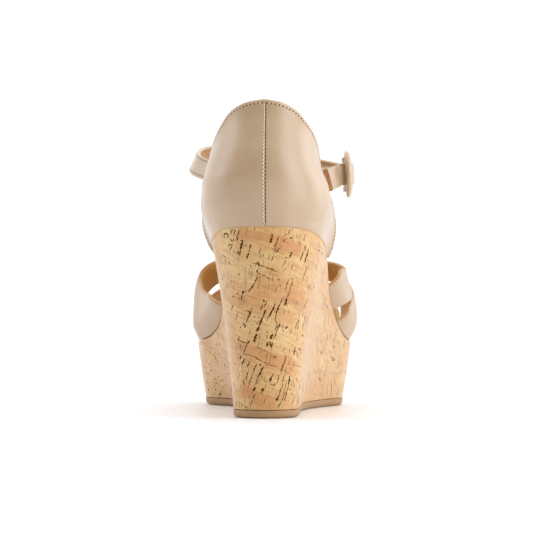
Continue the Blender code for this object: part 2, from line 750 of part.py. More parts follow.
def main():
    """Build the shoe."""
    clear_scene()
    root = bpy.data.objects.new("sandal", None)
    bpy.context.scene.collection.objects.link(root)
    path = feather_path()
    rubber = finish("outsole_rubber", (0.38, 0.27, 0.17), 0.75)
    cork = finish("wedge_cork", (0.70, 0.48, 0.26), 0.65)
    lining = finish("insole_leather", (0.56, 0.36, 0.17), 0.60)
    counter_leather = finish("counter_leather", (0.64, 0.50, 0.37), 0.45)
    vamp_leather = finish("vamp_leather", (0.66, 0.51, 0.38), 0.45)
    strap_leather = finish("strap_leather", (0.66, 0.51, 0.38), 0.45)
    tab_leather = finish("tab_leather", (0.60, 0.46, 0.34), 0.50)
    ring_leather = finish("ring_leather", (0.66, 0.51, 0.38), 0.45)
    bar_steel = finish("bar_steel", (0.75, 0.75, 0.75), 0.25, 1.0)
    prong_steel = finish("prong_steel", (0.75, 0.75, 0.75), 0.25, 1.0)
    things = [
        make_outsole(rubber, root),
        make_wedge(cork, root),
        make_insole(lining, root),
        make_counter(path, counter_leather, root),
        make_vamp(vamp_leather, root),
        make_ankle_strap(path, strap_leather, root),
        make_tab(path, tab_leather, root),
        make_ring(ring_leather, root),
        make_rod("buckle_bar", buckle_points(BAR_ROUTE), BAR_RADIUS, bar_steel, root),
        make_rod("buckle_prong", buckle_points(PRONG_ROUTE), PRONG_RADIUS, prong_steel, root),
    ]
    centre_on_floor(root, things)


main()
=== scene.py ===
"""Right wedge sandal of smooth leather on a cork-covered sole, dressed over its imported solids.

Shapes are worked out in millimetres from the back of the heel, with +X to the outer side of
the foot, +Y to the toe and +Z up from the floor. They become metres in the row frame when a
mesh is made.
"""

import logging
import math
from collections.abc import Callable
from dataclasses import dataclass
from enum import Enum
from typing import ClassVar

import bmesh
import bpy
import numpy as np
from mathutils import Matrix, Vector


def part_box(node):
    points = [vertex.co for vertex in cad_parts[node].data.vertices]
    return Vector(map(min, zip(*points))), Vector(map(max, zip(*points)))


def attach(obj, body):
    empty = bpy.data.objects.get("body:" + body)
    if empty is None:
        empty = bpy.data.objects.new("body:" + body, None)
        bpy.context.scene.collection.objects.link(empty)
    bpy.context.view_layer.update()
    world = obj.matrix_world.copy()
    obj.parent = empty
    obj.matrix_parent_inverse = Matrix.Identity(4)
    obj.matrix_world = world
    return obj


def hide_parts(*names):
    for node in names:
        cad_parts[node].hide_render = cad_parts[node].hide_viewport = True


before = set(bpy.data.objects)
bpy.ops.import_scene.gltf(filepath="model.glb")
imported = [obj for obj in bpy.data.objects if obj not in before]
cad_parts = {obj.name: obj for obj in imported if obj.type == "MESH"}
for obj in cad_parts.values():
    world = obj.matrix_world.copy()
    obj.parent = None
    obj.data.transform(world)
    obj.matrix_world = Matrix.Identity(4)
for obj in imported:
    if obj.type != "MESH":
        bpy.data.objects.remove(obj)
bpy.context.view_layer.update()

Array = np.ndarray
Pair = tuple[float, float]
Spot = tuple[float, float, float]
Row = tuple[float, float, float, float]
Stroke = tuple[float, float, float, float, float]
# Metres in a millimetre.
MM = 0.001
# Play between neighbouring pieces, in millimetres.
GAP = 0.3
# Points of a piece that are closer than this, in metres, become one.
MERGE = 1e-6
# Millimetres of the flat cork sheet in one unit of its UV map.
SHEET = 100.0
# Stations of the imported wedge's outline.
WEDGE_STATIONS = 73
log = logging.getLogger("sandal")


def lengths(points: Array) -> Array:
    """Length along a path up to each of its points, down the first axis."""
    step = np.linalg.norm(np.diff(points, axis=0), axis=-1)
    return np.concatenate((np.zeros_like(step[:1]), np.cumsum(step, axis=0)))


@dataclass(frozen=True)
class Curve:
    """Smooth line through the rows of a short table, which never overshoots them.

    Between two rows it is a cubic. Its slope at a row is the harmonic mean of the slopes on
    both sides, or zero where the line turns.
    """

    at: tuple[float, ...]
    value: tuple[float, ...]

    def __call__(self, x: Array | float) -> Array:
        """Read the line.

        Args:
            x: Places along the table's first column.

        Returns:
            Values of its second column there.
        """
        knots = np.array(self.at)
        levels = np.array(self.value)
        step = np.diff(knots)
        rise = np.diff(levels) / step
        product = rise[:-1] * rise[1:]
        total = np.where(product > 0.0, rise[:-1] + rise[1:], 1.0)
        turn = np.where(product > 0.0, 2.0 * product / total, 0.0)
        slope = np.concatenate((rise[:1], turn, rise[-1:]))
        x = np.clip(np.asarray(x, dtype=float), knots[0], knots[-1])
        i = np.clip(np.searchsorted(knots, x, side="right") - 1, 0, len(knots) - 2)
        t = (x - knots[i]) / step[i]
        left = levels[i] * (1.0 + 2.0 * t) + slope[i] * step[i] * t
        right = levels[i + 1] * (3.0 - 2.0 * t) - slope[i + 1] * step[i] * (1.0 - t)
        return left * (1.0 - t) ** 2 + right * t * t


class Rim(Enum):
    """Outlines of the sole seen from above."""

    FEATHER = "top edge of the wedge"
    TREAD = "edge of the outsole"


class Zone(Enum):
    """Sides of a leather leaf, in the order of its material slots."""

    FACE = 0
    EDGE = 1
    LINING = 2


@dataclass(frozen=True)
class Outline:
    """One outline of the sole: where it starts and ends, and its shares of the ball width."""

    back: float
    tip: float
    heel_round: float
    centre: Curve
    half: Curve


@dataclass(frozen=True)
class Last:
    """The foot shape that the sole and the upper are laid on.

    The outlines and the seat line go by shares of the length and of the ball width. The top
    line goes by arc from the back of the heel, the swells by height above the seat, and the
    dome by shares of the length.
    """

    length: float = 232.0
    ball: float = 86.5
    heel: float = 100.3
    platform: float = 36.6
    toe_round: float = 58.0
    toe_power: float = 2.2
    spring_start: float = 172.0
    spring: float = 9.0
    peak: float = 166.7
    instep: float = 63.6
    back_arc: float = 48.0
    edge_arc: float = 84.0
    widest: float = 10.4
    dome_power: float = 3.4
    dome_tilt: float = 0.13
    tuck: float = 0.5
    nudge: float = 2e-3
    loop_share: float = 0.7
    loop_steps: int = 700
    dome_rows: int = 193
    dome_columns: int = 401
    dome_steps: int = 1201
    feather_at: ClassVar[tuple[float, ...]] = (
        (0.000, 0.151, 0.280, 0.409, 0.539, 0.625, 0.690, 0.767, 0.862, 1.000)
    )
    tread_at: ClassVar[tuple[float, ...]] = (
        (0.000, 0.129, 0.259, 0.388, 0.483, 0.560, 0.647, 0.724, 0.797, 0.884, 1.000)
    )
    top_at: ClassVar[tuple[float, ...]] = (0.0, 10.0, 20.0, 33.5, 51.0, 64.0, 73.0, 79.0, 82.5, 84.0)
    swell_at: ClassVar[tuple[float, ...]] = (0.0, 6.0, 16.0, 26.0, 32.0, 39.0, 46.0, 54.0, 62.0, 70.0)
    dome_at: ClassVar[tuple[float, ...]] = (0.388, 0.474, 0.560, 0.647, 0.733, 0.819, 0.940)
    seat_line: Curve = Curve(
        (0.000, 0.108, 0.216, 0.323, 0.431, 0.539, 0.625, 0.690, 0.797, 0.905, 1.000),
        (1.000, 0.965, 0.868, 0.690, 0.442, 0.208, 0.062, 0.010, 0.000, 0.018, 0.055),
    )
    feather: Outline = Outline(
        0.0,
        232.0,
        35.0,
        Curve(feather_at, (-0.002, -0.002, 0.003, 0.012, 0.010, -0.008, -0.034, -0.050, -0.069, -0.095)),
        Curve(feather_at, (0.349, 0.349, 0.347, 0.339, 0.377, 0.439, 0.499, 0.511, 0.493, 0.440)),
    )
    tread: Outline = Outline(
        9.0,
        225.0,
        20.0,
        Curve(
            tread_at,
            (-0.010, -0.010, -0.006, 0.000, 0.006, 0.004, 0.004, -0.035, -0.057, -0.077, -0.090),
        ),
        Curve(tread_at, (0.198, 0.198, 0.193, 0.184, 0.202, 0.256, 0.330, 0.440, 0.472, 0.459, 0.400)),
    )
    top_drop: Curve = Curve(top_at, (0.0, 1.2, 4.4, 13.0, 24.2, 34.0, 43.5, 54.0, 65.0, 76.0))
    top_inner: Curve = Curve(top_at, (0.0, 11.4, 22.4, 35.0, 50.0, 61.5, 69.4, 75.0, 78.4, 79.8))
    swell_back: Curve = Curve(swell_at, (-0.5, 0.8, 2.8, 3.6, 3.0, 1.6, -0.6, -3.0, -5.4, -8.0))
    swell_outer: Curve = Curve(swell_at, (-0.5, 2.0, 3.6, 2.2, -0.3, -2.8, -4.0, -5.2, -6.8, -9.0))
    swell_inner: Curve = Curve(swell_at, (-0.5, 3.2, 6.0, 5.6, 3.6, 1.3, -1.4, -3.8, -5.2, -7.2))
    dome_height: Curve = Curve(dome_at, (1.000, 0.905, 0.825, 0.740, 0.620, 0.500, 0.370))
    dome_outer: Curve = Curve(dome_at, (6.8, 6.8, 6.2, 4.6, 1.3, 1.1, 1.1))
    dome_inner: Curve = Curve(dome_at, (7.0, 7.2, 7.4, 6.0, 2.3, 1.4, 1.4))

    def seat(self, along: Array) -> Array:
        """Height of the feather line: the platform plus a share of the rise to the heel."""
        return self.platform + (self.heel - self.platform) * self.seat_line(along / self.length)

    def lift(self, along: Array) -> Array:
        """Toe spring: a parabola that starts at the ball."""
        run = self.tread.tip - self.spring_start
        return self.spring * np.clip((along - self.spring_start) / run, 0.0, 1.0) ** 2

    def toe_taper(self, edge: Outline, along: Array) -> Array:
        """Share of the half width that a superellipse leaves near an outline's tip."""
        ahead = np.clip((along - edge.tip + self.toe_round) / self.toe_round, 0.0, 1.0)
        return (1.0 - ahead**self.toe_power) ** (1.0 / self.toe_power)

    def plan(self, rim: Rim, s: Array) -> Array:
        """Plan outline.

        The station s runs from -1 at the toe over 0 at the heel back to 1 at the toe, with the
        outer side positive. Along is a half cosine of |s|, and the half width is the table's,
        times an ellipse at the heel and a superellipse at the toe.

        Args:
            rim: Which outline.
            s: Stations, which may run past 1 and then go on round the loop.

        Returns:
            X and Y for each station.
        """
        edge = self.feather if rim is Rim.FEATHER else self.tread
        s = np.mod(s + 1.0, 2.0) - 1.0
        along = edge.back + (edge.tip - edge.back) * (1.0 - np.cos(math.pi * np.abs(s))) / 2.0
        share = along / self.length
        behind = np.clip((edge.back + edge.heel_round - along) / edge.heel_round, 0.0, 1.0)
        heel_end = np.sqrt(1.0 - behind**2)
        half = self.ball * edge.half(share) * heel_end * self.toe_taper(edge, along)
        return np.stack((self.ball * edge.centre(share) + np.sign(s) * half, along), axis=-1)

    def away(self, rim: Rim, s: Array) -> Array:
        """Unit vectors out of an outline: its tangent turned by a right angle.

        Args:
            rim: Which outline.
            s: Stations.

        Returns:
            X and Y for each station.
        """
        run = self.plan(rim, s + self.nudge) - self.plan(rim, s - self.nudge)
        out = np.stack((run[..., 1], -run[..., 0]), axis=-1)
        return out / np.linalg.norm(out, axis=-1, keepdims=True)

    def counter(self, arc: Array, height: Array) -> Array:
        """Outer face of the heel cup.

        A point of the feather line, by arc from the heel back, moved outward by the swell at
        its height. The swell turns smoothly from the back's column to the side's.

        Args:
            arc: Arc along the feather line, outer side positive.
            height: Height above the floor.

        Returns:
            Points of the same shape with X, Y and Z.
        """
        s = np.linspace(-self.loop_share, self.loop_share, 2 * self.loop_steps + 1)
        loop = self.plan(Rim.FEATHER, s)
        out = self.away(Rim.FEATHER, s)
        arcs = lengths(loop)
        arcs = arcs - arcs[self.loop_steps]
        x, y = (np.interp(arc, arcs, loop[:, k]) for k in (0, 1))
        u, v = (np.interp(arc, arcs, out[:, k]) for k in (0, 1))
        above = height - self.seat(y)
        share = np.clip(np.abs(arc) / self.back_arc, 0.0, 1.0)
        turn = share * share * (3.0 - 2.0 * share)
        side = np.where(arc > 0.0, self.swell_outer(above), self.swell_inner(above))
        swell = self.swell_back(above) * (1.0 - turn) + side * turn
        return np.stack((x + u * swell, y + v * swell, height + 0.0 * arc), axis=-1)

    def counter_top(self, turn: Array) -> tuple[Array, Array]:
        """Top line of the heel cup.

        Args:
            turn: Share of the way to the front ends, -1 to 1.

        Returns:
            Arc and height of the top line.
        """
        arc = turn * self.edge_arc
        top = self.peak - self.top_drop(np.abs(arc))
        return np.where(arc > 0.0, arc, -self.top_inner(np.abs(arc))), top

    def dome(self, girth: Array, along: Array) -> Array:
        """Forefoot of the last.

        Each section is a superellipse above its widest height and an arc below it, down to the
        feather line. The share of the girth is its arc length from the outer to the inner side.

        Args:
            girth: Shares of the girth, 0 at the outer feather line.
            along: Distances from the heel back, of the same shape.

        Returns:
            Points with X, Y and Z.
        """
        rows = np.linspace(self.dome_at[0], self.dome_at[-1], self.dome_rows)
        shares = np.linspace(0.0, 1.0, self.dome_columns)
        y = rows * self.length
        edge = self.feather
        reach = self.ball * edge.half(rows) * self.toe_taper(edge, y)
        outer, inner = self.dome_outer(rows), self.dome_inner(rows)
        foot = [np.arccos((reach - self.tuck) / (reach + out)) for out in (outer, inner)]
        sweep = np.linspace(0.0, 1.0, self.dome_steps)[None, :]
        angle = -foot[0][:, None] + (math.pi + foot[0] + foot[1])[:, None] * sweep
        level, side = np.sin(angle), np.cos(angle)
        wide = reach[:, None] + np.where(side > 0.0, outer[:, None], inner[:, None])
        dip = np.where(side > 0.0, np.sin(foot[0])[:, None], np.sin(foot[1])[:, None])
        power = 2.0 / self.dome_power
        arch = np.sign(side) * np.abs(side) ** power
        tall = (self.instep * self.dome_height(rows) - self.widest)[:, None]
        rise = tall * np.abs(level) ** power * (1.0 - self.dome_tilt * side)
        x = (self.ball * edge.centre(rows))[:, None] + wide * np.where(level >= 0.0, arch, side)
        z = self.widest + np.where(level >= 0.0, rise, self.widest * level / dip)
        steps = np.hypot(np.diff(x, axis=1), np.diff(z, axis=1))
        run = np.concatenate((np.zeros((len(rows), 1)), np.cumsum(steps, axis=1)), axis=1)
        run = run / run[:, -1:]
        base = self.seat(y) + GAP
        table_x = np.stack([np.interp(shares, r, v) for r, v in zip(run, x)])
        table_z = np.stack([np.interp(shares, r, v) for r, v in zip(run, z)]) + base[:, None]
        r = np.interp(along, y, np.arange(len(y)))
        c = np.interp(girth, shares, np.arange(len(shares)))
        i = np.minimum(r.astype(int), len(y) - 2)
        j = np.minimum(c.astype(int), len(shares) - 2)
        a, b = r - i, c - j

        def read(table: Array) -> Array:
            """Blend of the four entries round each place."""
            near = table[i, j] * (1.0 - b) + table[i, j + 1] * b
            return near * (1.0 - a) + (table[i + 1, j] * (1.0 - b) + table[i + 1, j + 1] * b) * a

        return np.stack((read(table_x), along + 0.0 * girth, read(table_z)), axis=-1)


LAST = Last()


def row_shift() -> Array:
    """Move from the heel frame to the row frame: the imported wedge's box against its formula.

    Returns:
        X, Y and Z in millimetres.
    """
    low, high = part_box("wedge")
    rim = LAST.plan(Rim.FEATHER, np.linspace(-1.0, 1.0, WEDGE_STATIONS))
    middle = (rim[:, 0].min() + rim[:, 0].max()) / 2.0
    return np.array([(low.x + high.x) / 2.0 / MM - middle, low.y / MM - rim[:, 1].min(), 0.0])


SHIFT = row_shift()


@dataclass(frozen=True)
class Eye:
    """Camera of the photograph: level with its target, and turned from the back to the outer side.

    The frame is the height of the picture in millimetres at the target's distance.
    """

    azimuth: float = 3.0
    distance: float = 1490.0
    frame_mm: float = 286.0
    pixels: float = 550.0
    target: Spot = (5.5, 0.0, 75.0)

    def back(self) -> Array:
        """Direction from the target to the camera."""
        turn = math.radians(self.azimuth)
        return np.array([math.sin(turn), -math.cos(turn), 0.0])

    def place(self) -> Array:
        """Where the camera stands, in the heel frame."""
        return np.array(self.target) + self.back() * self.distance

    def seen(self, points: Array) -> tuple[Array, Array]:
        """Pixels at which points are seen: their offset over the size of a pixel at their depth.

        Args:
            points: Points in the heel frame.

        Returns:
            Pixels across and down, and millimetres in a pixel.
        """
        back = self.back()
        way = points - self.place()
        size = self.frame_mm / self.pixels * -(way @ back) / self.distance
        offset = np.stack((way @ np.array([-back[1], back[0], 0.0]), -way[..., 2]), axis=-1)
        return self.pixels / 2.0 + offset / size[..., None], size


EYE = Eye()


def linear(code: str) -> tuple[float, float, float, float]:
    """Turn an sRGB hex colour to linear light.

    Args:
        code: Six hex digits after a hash sign.

    Returns:
        Red, green, blue and full alpha.
    """
    parts = [int(code[k : k + 2], 16) / 255.0 for k in (1, 3, 5)]
    red, green, blue = (p / 12.92 if p <= 0.04045 else ((p + 0.055) / 1.055) ** 2.4 for p in parts)
    return red, green, blue, 1.0


def add(
    tree: bpy.types.NodeTree,
    kind: str,
    inputs: dict[str | int, object] | tuple[object, ...] = (),
    **settings: object,
) -> bpy.types.bpy_prop_collection:
    """Add one node.

    Args:
        tree: Node tree it goes in.
        kind: Blender's name for the node, without its first word ShaderNode.
        inputs: Values, or sockets to link, by input name or number, or in the node's order.
        settings: Properties of the node.

    Returns:
        The node's outputs.
    """
    made = tree.nodes.new(f"ShaderNode{kind}")
    for name, value in settings.items():
        setattr(made, name, value)
    for key, value in inputs.items() if isinstance(inputs, dict) else enumerate(inputs):
        if isinstance(value, bpy.types.NodeSocket):
            tree.links.new(value, made.inputs[key])
        else:
            made.inputs[key].default_value = value
    return made.outputs


@dataclass(frozen=True)
class Finish:
    """A surface: its name, its colour and how it takes the light."""

    name: str
    colour: str
    roughness: float = 0.5

    def start(self) -> tuple[bpy.types.NodeTree, bpy.types.NodeInputs]:
        """Make the material with a Principled shader.

        Returns:
            Its node tree and its shader's inputs.
        """
        material = bpy.data.materials.new(self.name)
        material.use_nodes = True
        shader = material.node_tree.nodes["Principled BSDF"].inputs
        shader["Base Color"].default_value = linear(self.colour)
        shader["Roughness"].default_value = self.roughness
        return material.node_tree, shader

    def material(self) -> bpy.types.Material:
        """Find the material, or make it first."""
        if self.name not in bpy.data.materials:
            self.make()
        return bpy.data.materials[self.name]

    def make(self) -> None:
        """Make the material with no pattern."""
        self.start()


@dataclass(frozen=True)
class Leather(Finish):
    """Smooth aniline calf or its lining: a soft mottle, a fine grain and a waxed gloss."""

    shade: str = "#B79C80"
    mottle_mm: float = 30.0
    mottle_band: Pair = (0.3, 0.7)
    # Real calf has about five pores to a millimetre. The grain is drawn coarser, so that it shows.
    grain_mm: float = 0.7
    grain_depth: float = 0.04
    pull_mm: float = 7.0
    gloss_swing: Pair = (-0.05, 0.06)
    coat: float = 1.0
    coat_roughness: float = 0.36
    wax: float = 0.3

    def make(self) -> None:
        """Mottle from broad noise, and a bump of cells with broad pull marks."""
        tree, shader = self.start()
        place = add(tree, "TexCoord")["Object"]
        sizes = (self.mottle_mm, self.grain_mm, self.pull_mm)
        mottle, grain, pull = (1.0 / (size * MM) for size in sizes)
        cloud = add(tree, "TexNoise", {"Vector": place, "Scale": mottle, "Detail": 3.0})["Fac"]
        share = add(tree, "MapRange", (cloud, *self.mottle_band))["Result"]
        tones = {0: share, 6: linear(self.colour), 7: linear(self.shade)}
        tree.links.new(add(tree, "Mix", tones, data_type="RGBA")[2], shader["Base Color"])
        cells = add(tree, "TexVoronoi", {"Vector": place, "Scale": grain})["Distance"]
        pulls = add(tree, "TexNoise", {"Vector": place, "Scale": pull, "Detail": 2.0})["Fac"]
        height = add(tree, "Math", (cells, pulls), operation="MULTIPLY")[0]
        relief = {"Height": height, "Strength": self.grain_depth, "Distance": self.grain_mm * MM}
        tree.links.new(add(tree, "Bump", relief)["Normal"], shader["Normal"])
        swing = (self.roughness + by for by in self.gloss_swing)
        tree.links.new(add(tree, "MapRange", (cloud, 0.0, 1.0, *swing))["Result"], shader["Roughness"])
        shader["Coat Weight"].default_value = self.coat
        shader["Coat Roughness"].default_value = self.coat_roughness
        shader["Specular IOR Level"].default_value = 0.5 + self.wax * self.coat


@dataclass(frozen=True)
class PoreField:
    """Fine pores of one lean, which change in strength between two places along the sheet.

    Places are millimetres from the middle of the heel, with the outer side positive, or on
    both sides alike.
    """

    lean: float
    both_sides: bool
    start: float
    full: float
    least: float
    most: float
    long: float


@dataclass(frozen=True)
class Cork(Finish):
    """Natural cork sheet cut from pressed planks: blocks of several tans with dark pores."""

    pale: str = "#E5C587"
    orange: str = "#CF8D49"
    red_grain: str = "#C07C40"
    pore: str = "#6C3A08"
    fall_deg: float = -17.0
    wander_mm: float = 5.0
    wander_by: float = 1.6
    brick_offset: float = 0.37
    brick_bias: float = -0.25
    chart_share: float = 0.85
    grain_size: Pair = (11.0, 0.9)
    grain_band: Pair = (0.50, 0.68)
    grain_share: float = 0.75
    crowd_mm: float = 11.0
    crowd_band: Pair = (0.42, 0.56)
    crowd_least: float = 0.2
    # Real pores are about a third of a millimetre wide. These are drawn coarser, so that they show.
    pore_wide: float = 0.68
    pore_band: Pair = (0.57, 0.635)
    pore_fields: tuple[PoreField, ...] = (
        PoreField(13.0, True, 26.0, 42.0, 0.80, 0.30, 5.0),
        PoreField(3.0, False, 26.0, 34.0, 0.0, 0.70, 6.0),
        PoreField(-24.0, False, -26.0, -34.0, 0.0, 0.65, 2.2),
    )
    relief_mm: float = 0.25
    relief: float = 0.25
    coat: float = 0.9
    coat_roughness: float = 0.42

    def make(self) -> None:
        """Bricks of tans along the fall of the planks, charted planks, grain lines and pores."""
        tree, shader = self.start()
        sheet = add(tree, "TexCoord")["UV"]
        wander = {"Vector": sheet, "Scale": SHEET / self.wander_mm, "Detail": 3.0}
        noise = add(tree, "TexNoise", wander)["Color"]
        offset = add(tree, "VectorMath", (noise, (-0.5, -0.5, -0.5)), operation="ADD")[0]
        spread = {0: offset, "Scale": self.wander_by / SHEET}
        spread = add(tree, "VectorMath", spread, operation="SCALE")[0]
        loose = add(tree, "VectorMath", (sheet, spread), operation="ADD")[0]
        fall = {"Vector": loose, "Rotation": (0.0, 0.0, math.radians(self.fall_deg))}
        layers = []
        # Width and height of the blocks in millimetres, and the share and colour they bring in.
        for width, height, share, other in (
            (19.0, 8.5, 0.65, self.pale),
            (12.0, 5.6, 0.45, self.orange),
            (5.5, 3.2, 0.50, self.pale),
        ):
            size = (width / SHEET, height / SHEET, 1.0)
            bricks = {
                "Vector": add(tree, "Mapping", {**fall, "Scale": size}, vector_type="TEXTURE")[0],
                "Color1": (0.0, 0.0, 0.0, 1.0),
                "Color2": (1.0, 1.0, 1.0, 1.0),
                "Scale": 1.0,
                "Mortar Size": 0.0,
                "Bias": self.brick_bias,
                "Brick Width": 1.0,
                "Row Height": 1.0,
            }
            block = add(tree, "TexBrick", bricks, offset=self.brick_offset)["Color"]
            layers.append((add(tree, "Math", (block, share), operation="MULTIPLY")[0], other))
        chart = add(tree, "Attribute", attribute_name="tone")["Fac"]
        for full, other in ((1.0, self.orange), (-1.0, self.pale)):
            amount = add(tree, "MapRange", (chart, 0.0, full, 0.0, self.chart_share))["Result"]
            layers.append((amount, other))
        size = (*(side / SHEET for side in self.grain_size), 1.0)
        lines = add(tree, "Mapping", {**fall, "Scale": size}, vector_type="TEXTURE")[0]
        grain = add(tree, "TexNoise", {"Vector": lines, "Scale": 1.0, "Detail": 4.0})["Fac"]
        streak = add(tree, "MapRange", (grain, *self.grain_band, 0.0, self.grain_share))["Result"]
        layers.append((streak, self.red_grain))
        crowd = {"Vector": sheet, "Scale": SHEET / self.crowd_mm, "Detail": 1.0}
        crowd = add(tree, "TexNoise", crowd)["Fac"]
        crowd = add(tree, "MapRange", (crowd, *self.crowd_band, self.crowd_least, 1.0))["Result"]
        along = add(tree, "SeparateXYZ", (sheet,))["X"]
        apart = add(tree, "Math", (along,), operation="ABSOLUTE")[0]
        pores = None
        for field in self.pore_fields:
            turn = {
                "Vector": sheet,
                "Rotation": (0.0, 0.0, math.radians(-field.lean)),
                "Scale": (self.pore_wide / SHEET, field.long / SHEET, 1.0),
            }
            at = add(tree, "Mapping", turn, vector_type="TEXTURE")[0]
            cell = add(tree, "TexNoise", {"Vector": at, "Scale": 1.0, "Detail": 2.0})["Fac"]
            near = add(tree, "MapRange", (cell, *self.pore_band))["Result"]
            place = apart if field.both_sides else along
            reach = (field.start / SHEET, field.full / SHEET, field.least, field.most)
            side = add(tree, "MapRange", (place, *reach))["Result"]
            mark = add(tree, "Math", (near, side), operation="MULTIPLY")[0]
            pores = add(tree, "Math", (pores, mark), operation="MAXIMUM")[0] if pores else mark
        dark = add(tree, "Math", (pores, crowd), operation="MULTIPLY")[0]
        layers.append((dark, self.pore))
        tone = linear(self.colour)
        for share, other in layers:
            tone = add(tree, "Mix", {0: share, 6: tone, 7: linear(other)}, data_type="RGBA")[2]
        tree.links.new(tone, shader["Base Color"])
        height = add(tree, "Math", (grain, dark), operation="SUBTRACT")[0]
        relief = {"Height": height, "Strength": self.relief, "Distance": self.relief_mm * MM}
        tree.links.new(add(tree, "Bump", relief)["Normal"], shader["Normal"])
        shader["Coat Weight"].default_value = self.coat
        shader["Coat Roughness"].default_value = self.coat_roughness


@dataclass(frozen=True)
class Speckled(Finish):
    """Moulded rubber, dyed thread or edge paint: one colour with a fine uneven speck."""

    shade: str = "#8E755B"
    speck_mm: float = 1.2
    speck_band: Pair = (0.35, 0.7)
    relief: float = 0.15
    relief_mm: float = 0.2
    gloss: float = 0.5

    def make(self) -> None:
        """Two tones from one noise, which is also the bump."""
        tree, shader = self.start()
        place = add(tree, "TexCoord")["Object"]
        noise = {"Vector": place, "Scale": 1.0 / (self.speck_mm * MM), "Detail": 4.0}
        speck = add(tree, "TexNoise", noise)["Fac"]
        share = add(tree, "MapRange", (speck, *self.speck_band))["Result"]
        tones = {0: share, 6: linear(self.colour), 7: linear(self.shade)}
        tree.links.new(add(tree, "Mix", tones, data_type="RGBA")[2], shader["Base Color"])
        relief = {"Height": speck, "Strength": self.relief, "Distance": self.relief_mm * MM}
        tree.links.new(add(tree, "Bump", relief)["Normal"], shader["Normal"])
        shader["Specular IOR Level"].default_value = self.gloss


@dataclass(frozen=True)
class Plated(Finish):
    """Nickel-plated wire: bright metal with faint drawing marks in its gloss."""

    mark_mm: float = 0.8
    gloss_swing: Pair = (-0.05, 0.08)

    def make(self) -> None:
        """Metal whose roughness follows a fine noise."""
        tree, shader = self.start()
        shader["Metallic"].default_value = 1.0
        place = add(tree, "TexCoord")["Object"]
        marks = add(tree, "TexNoise", {"Vector": place, "Scale": 1.0 / (self.mark_mm * MM)})["Fac"]
        swing = (self.roughness + by for by in self.gloss_swing)
        tree.links.new(add(tree, "MapRange", (marks, 0.0, 1.0, *swing))["Result"], shader["Roughness"])


# Calf dyed through and polished with wax: an even tan that clouds a little, with a soft gloss.
CALF = Leather("smooth_calf_leather", "#C3A581", 0.38, shade="#BC9D78")
# The same calf stretched over the forefoot, where it takes less wax: duller, so folds stay dark.
BAND_CALF = Leather("waxed_calf_leather", "#C3A47F", 0.42, shade="#BB9C77", coat=0.48)
# Bark-tanned lining, left bare inside the cup and bands: yellower than the face, matt, open grain.
LINING = Leather("tan_lining_leather", "#DAAE60", 0.60, shade="#CC9E50", coat=0.0, grain_depth=0.12)
# The straps' bare lining, rubbed by the ankle: redder than the other lining and as matt.
STRAP_LINING = Leather(
    "strap_lining_leather", "#CDA273", 0.60, shade="#C09363", coat=0.0, grain_depth=0.12
)
# Bare leather glued over the padding and rolled: a dull brown tan with broad clouds.
FOOTBED = Leather("footbed_leather", "#C39A62", 0.58, shade="#AD8450", coat=0.0, grain_depth=0.10)
# Colour rolled on a cut edge: a thin satin line a little redder than the face, with small pools.
EDGE_PAINT = Speckled("tan_edge_paint", "#C89866", 0.45, shade="#BC8A58", speck_mm=2.4, relief=0.08)
# A paler colour rolled on the cup's and straps' edges: a cream line beside the tan face.
CREAM_EDGE = Speckled("cream_edge_paint", "#DDC199", 0.45, shade="#D2B389", speck_mm=2.0, relief=0.08)
# Leather cut and left unpainted: loose fibres, so it is rough and shows light and dark flecks. Its colour
# is set lighter than the bare leather: painted light on an end that sits in shade.
RAW_EDGE_PAINTED_LIGHT = Speckled("raw_cut_leather_painted_light", "#E0AE7C", 0.75, shade="#96683F", speck_mm=0.7, relief=0.4)
# Twisted and waxed sewing thread: pale beads with a soft light. The twist is drawn coarser than it is.
THREAD = Speckled("waxed_thread", "#E2CFB4", 0.50, shade="#D2BC9C", speck_mm=0.5)
# The heavier thread of the back seam, nearly cream: thread, with a painted highlight of the lap's edge in
# its colour, so the seam reads as a pale beaded line.
RIDGE_THREAD_AND_HIGHLIGHT = Speckled("pale_thread_painted_highlight", "#F0E2CC", 0.45, shade="#E2D0B6", speck_mm=0.5)
# Holes that the needle leaves, drawn as flat dots in dark brown: painted shade of the holes, with hardly
# any gloss.
PIT_SHADE = Speckled("needle_pit_shade", "#5C3414", 0.8, shade="#44260C", speck_mm=0.6, gloss=0.1)
# Bark glued to blocks, sliced to a sheet and lacquered: tan planks that fall to the outer side,
# red grain lines, dark pores and a thin satin coat.
CORK = Cork("natural_cork_sheet", "#D5A45C", 0.52)
# Open channels of the bark, full of dust: dark brown strokes without gloss.
PORE = Speckled("cork_pore", "#4A2706", 0.9, shade="#6A3E0E", speck_mm=1.4, relief=0.3, gloss=0.1)
# Rubber pressed in a mould: a dull tan with a fine speck of filler.
RUBBER = Speckled("moulded_rubber", "#B69066", 0.66, shade="#A4825A", speck_mm=1.1)
# Nickel plated on drawn wire: bright and neutral, with a softened reflection.
NICKEL = Plated("nickel_plate", "#F4F4F6", 0.44)
# Seamless paper, uncoated: an even white with a trace of cloud and a faint reflection.
PAPER = Speckled("white_paper", "#FAFAFB", 0.45, shade="#F5F5F6", speck_mm=9.0, relief=0.0)


def quads(rows: int, columns: int, wrap_rows: bool = False, wrap_columns: bool = False) -> Array:
    """Faces of a grid of points.

    Args:
        rows: Number of rows of points.
        columns: Number of points in a row.
        wrap_rows: Whether the last row joins the first.
        wrap_columns: Whether each row is a closed loop.

    Returns:
        Four point numbers for each face.
    """
    r, c = np.meshgrid(
        np.arange(rows - (not wrap_rows)), np.arange(columns - (not wrap_columns)), indexing="ij"
    )
    below, beside = (r + 1) % rows, (c + 1) % columns
    corners = (r * columns + c, r * columns + beside, below * columns + beside, below * columns + c)
    return np.stack(corners, axis=-1).reshape(-1, 4)


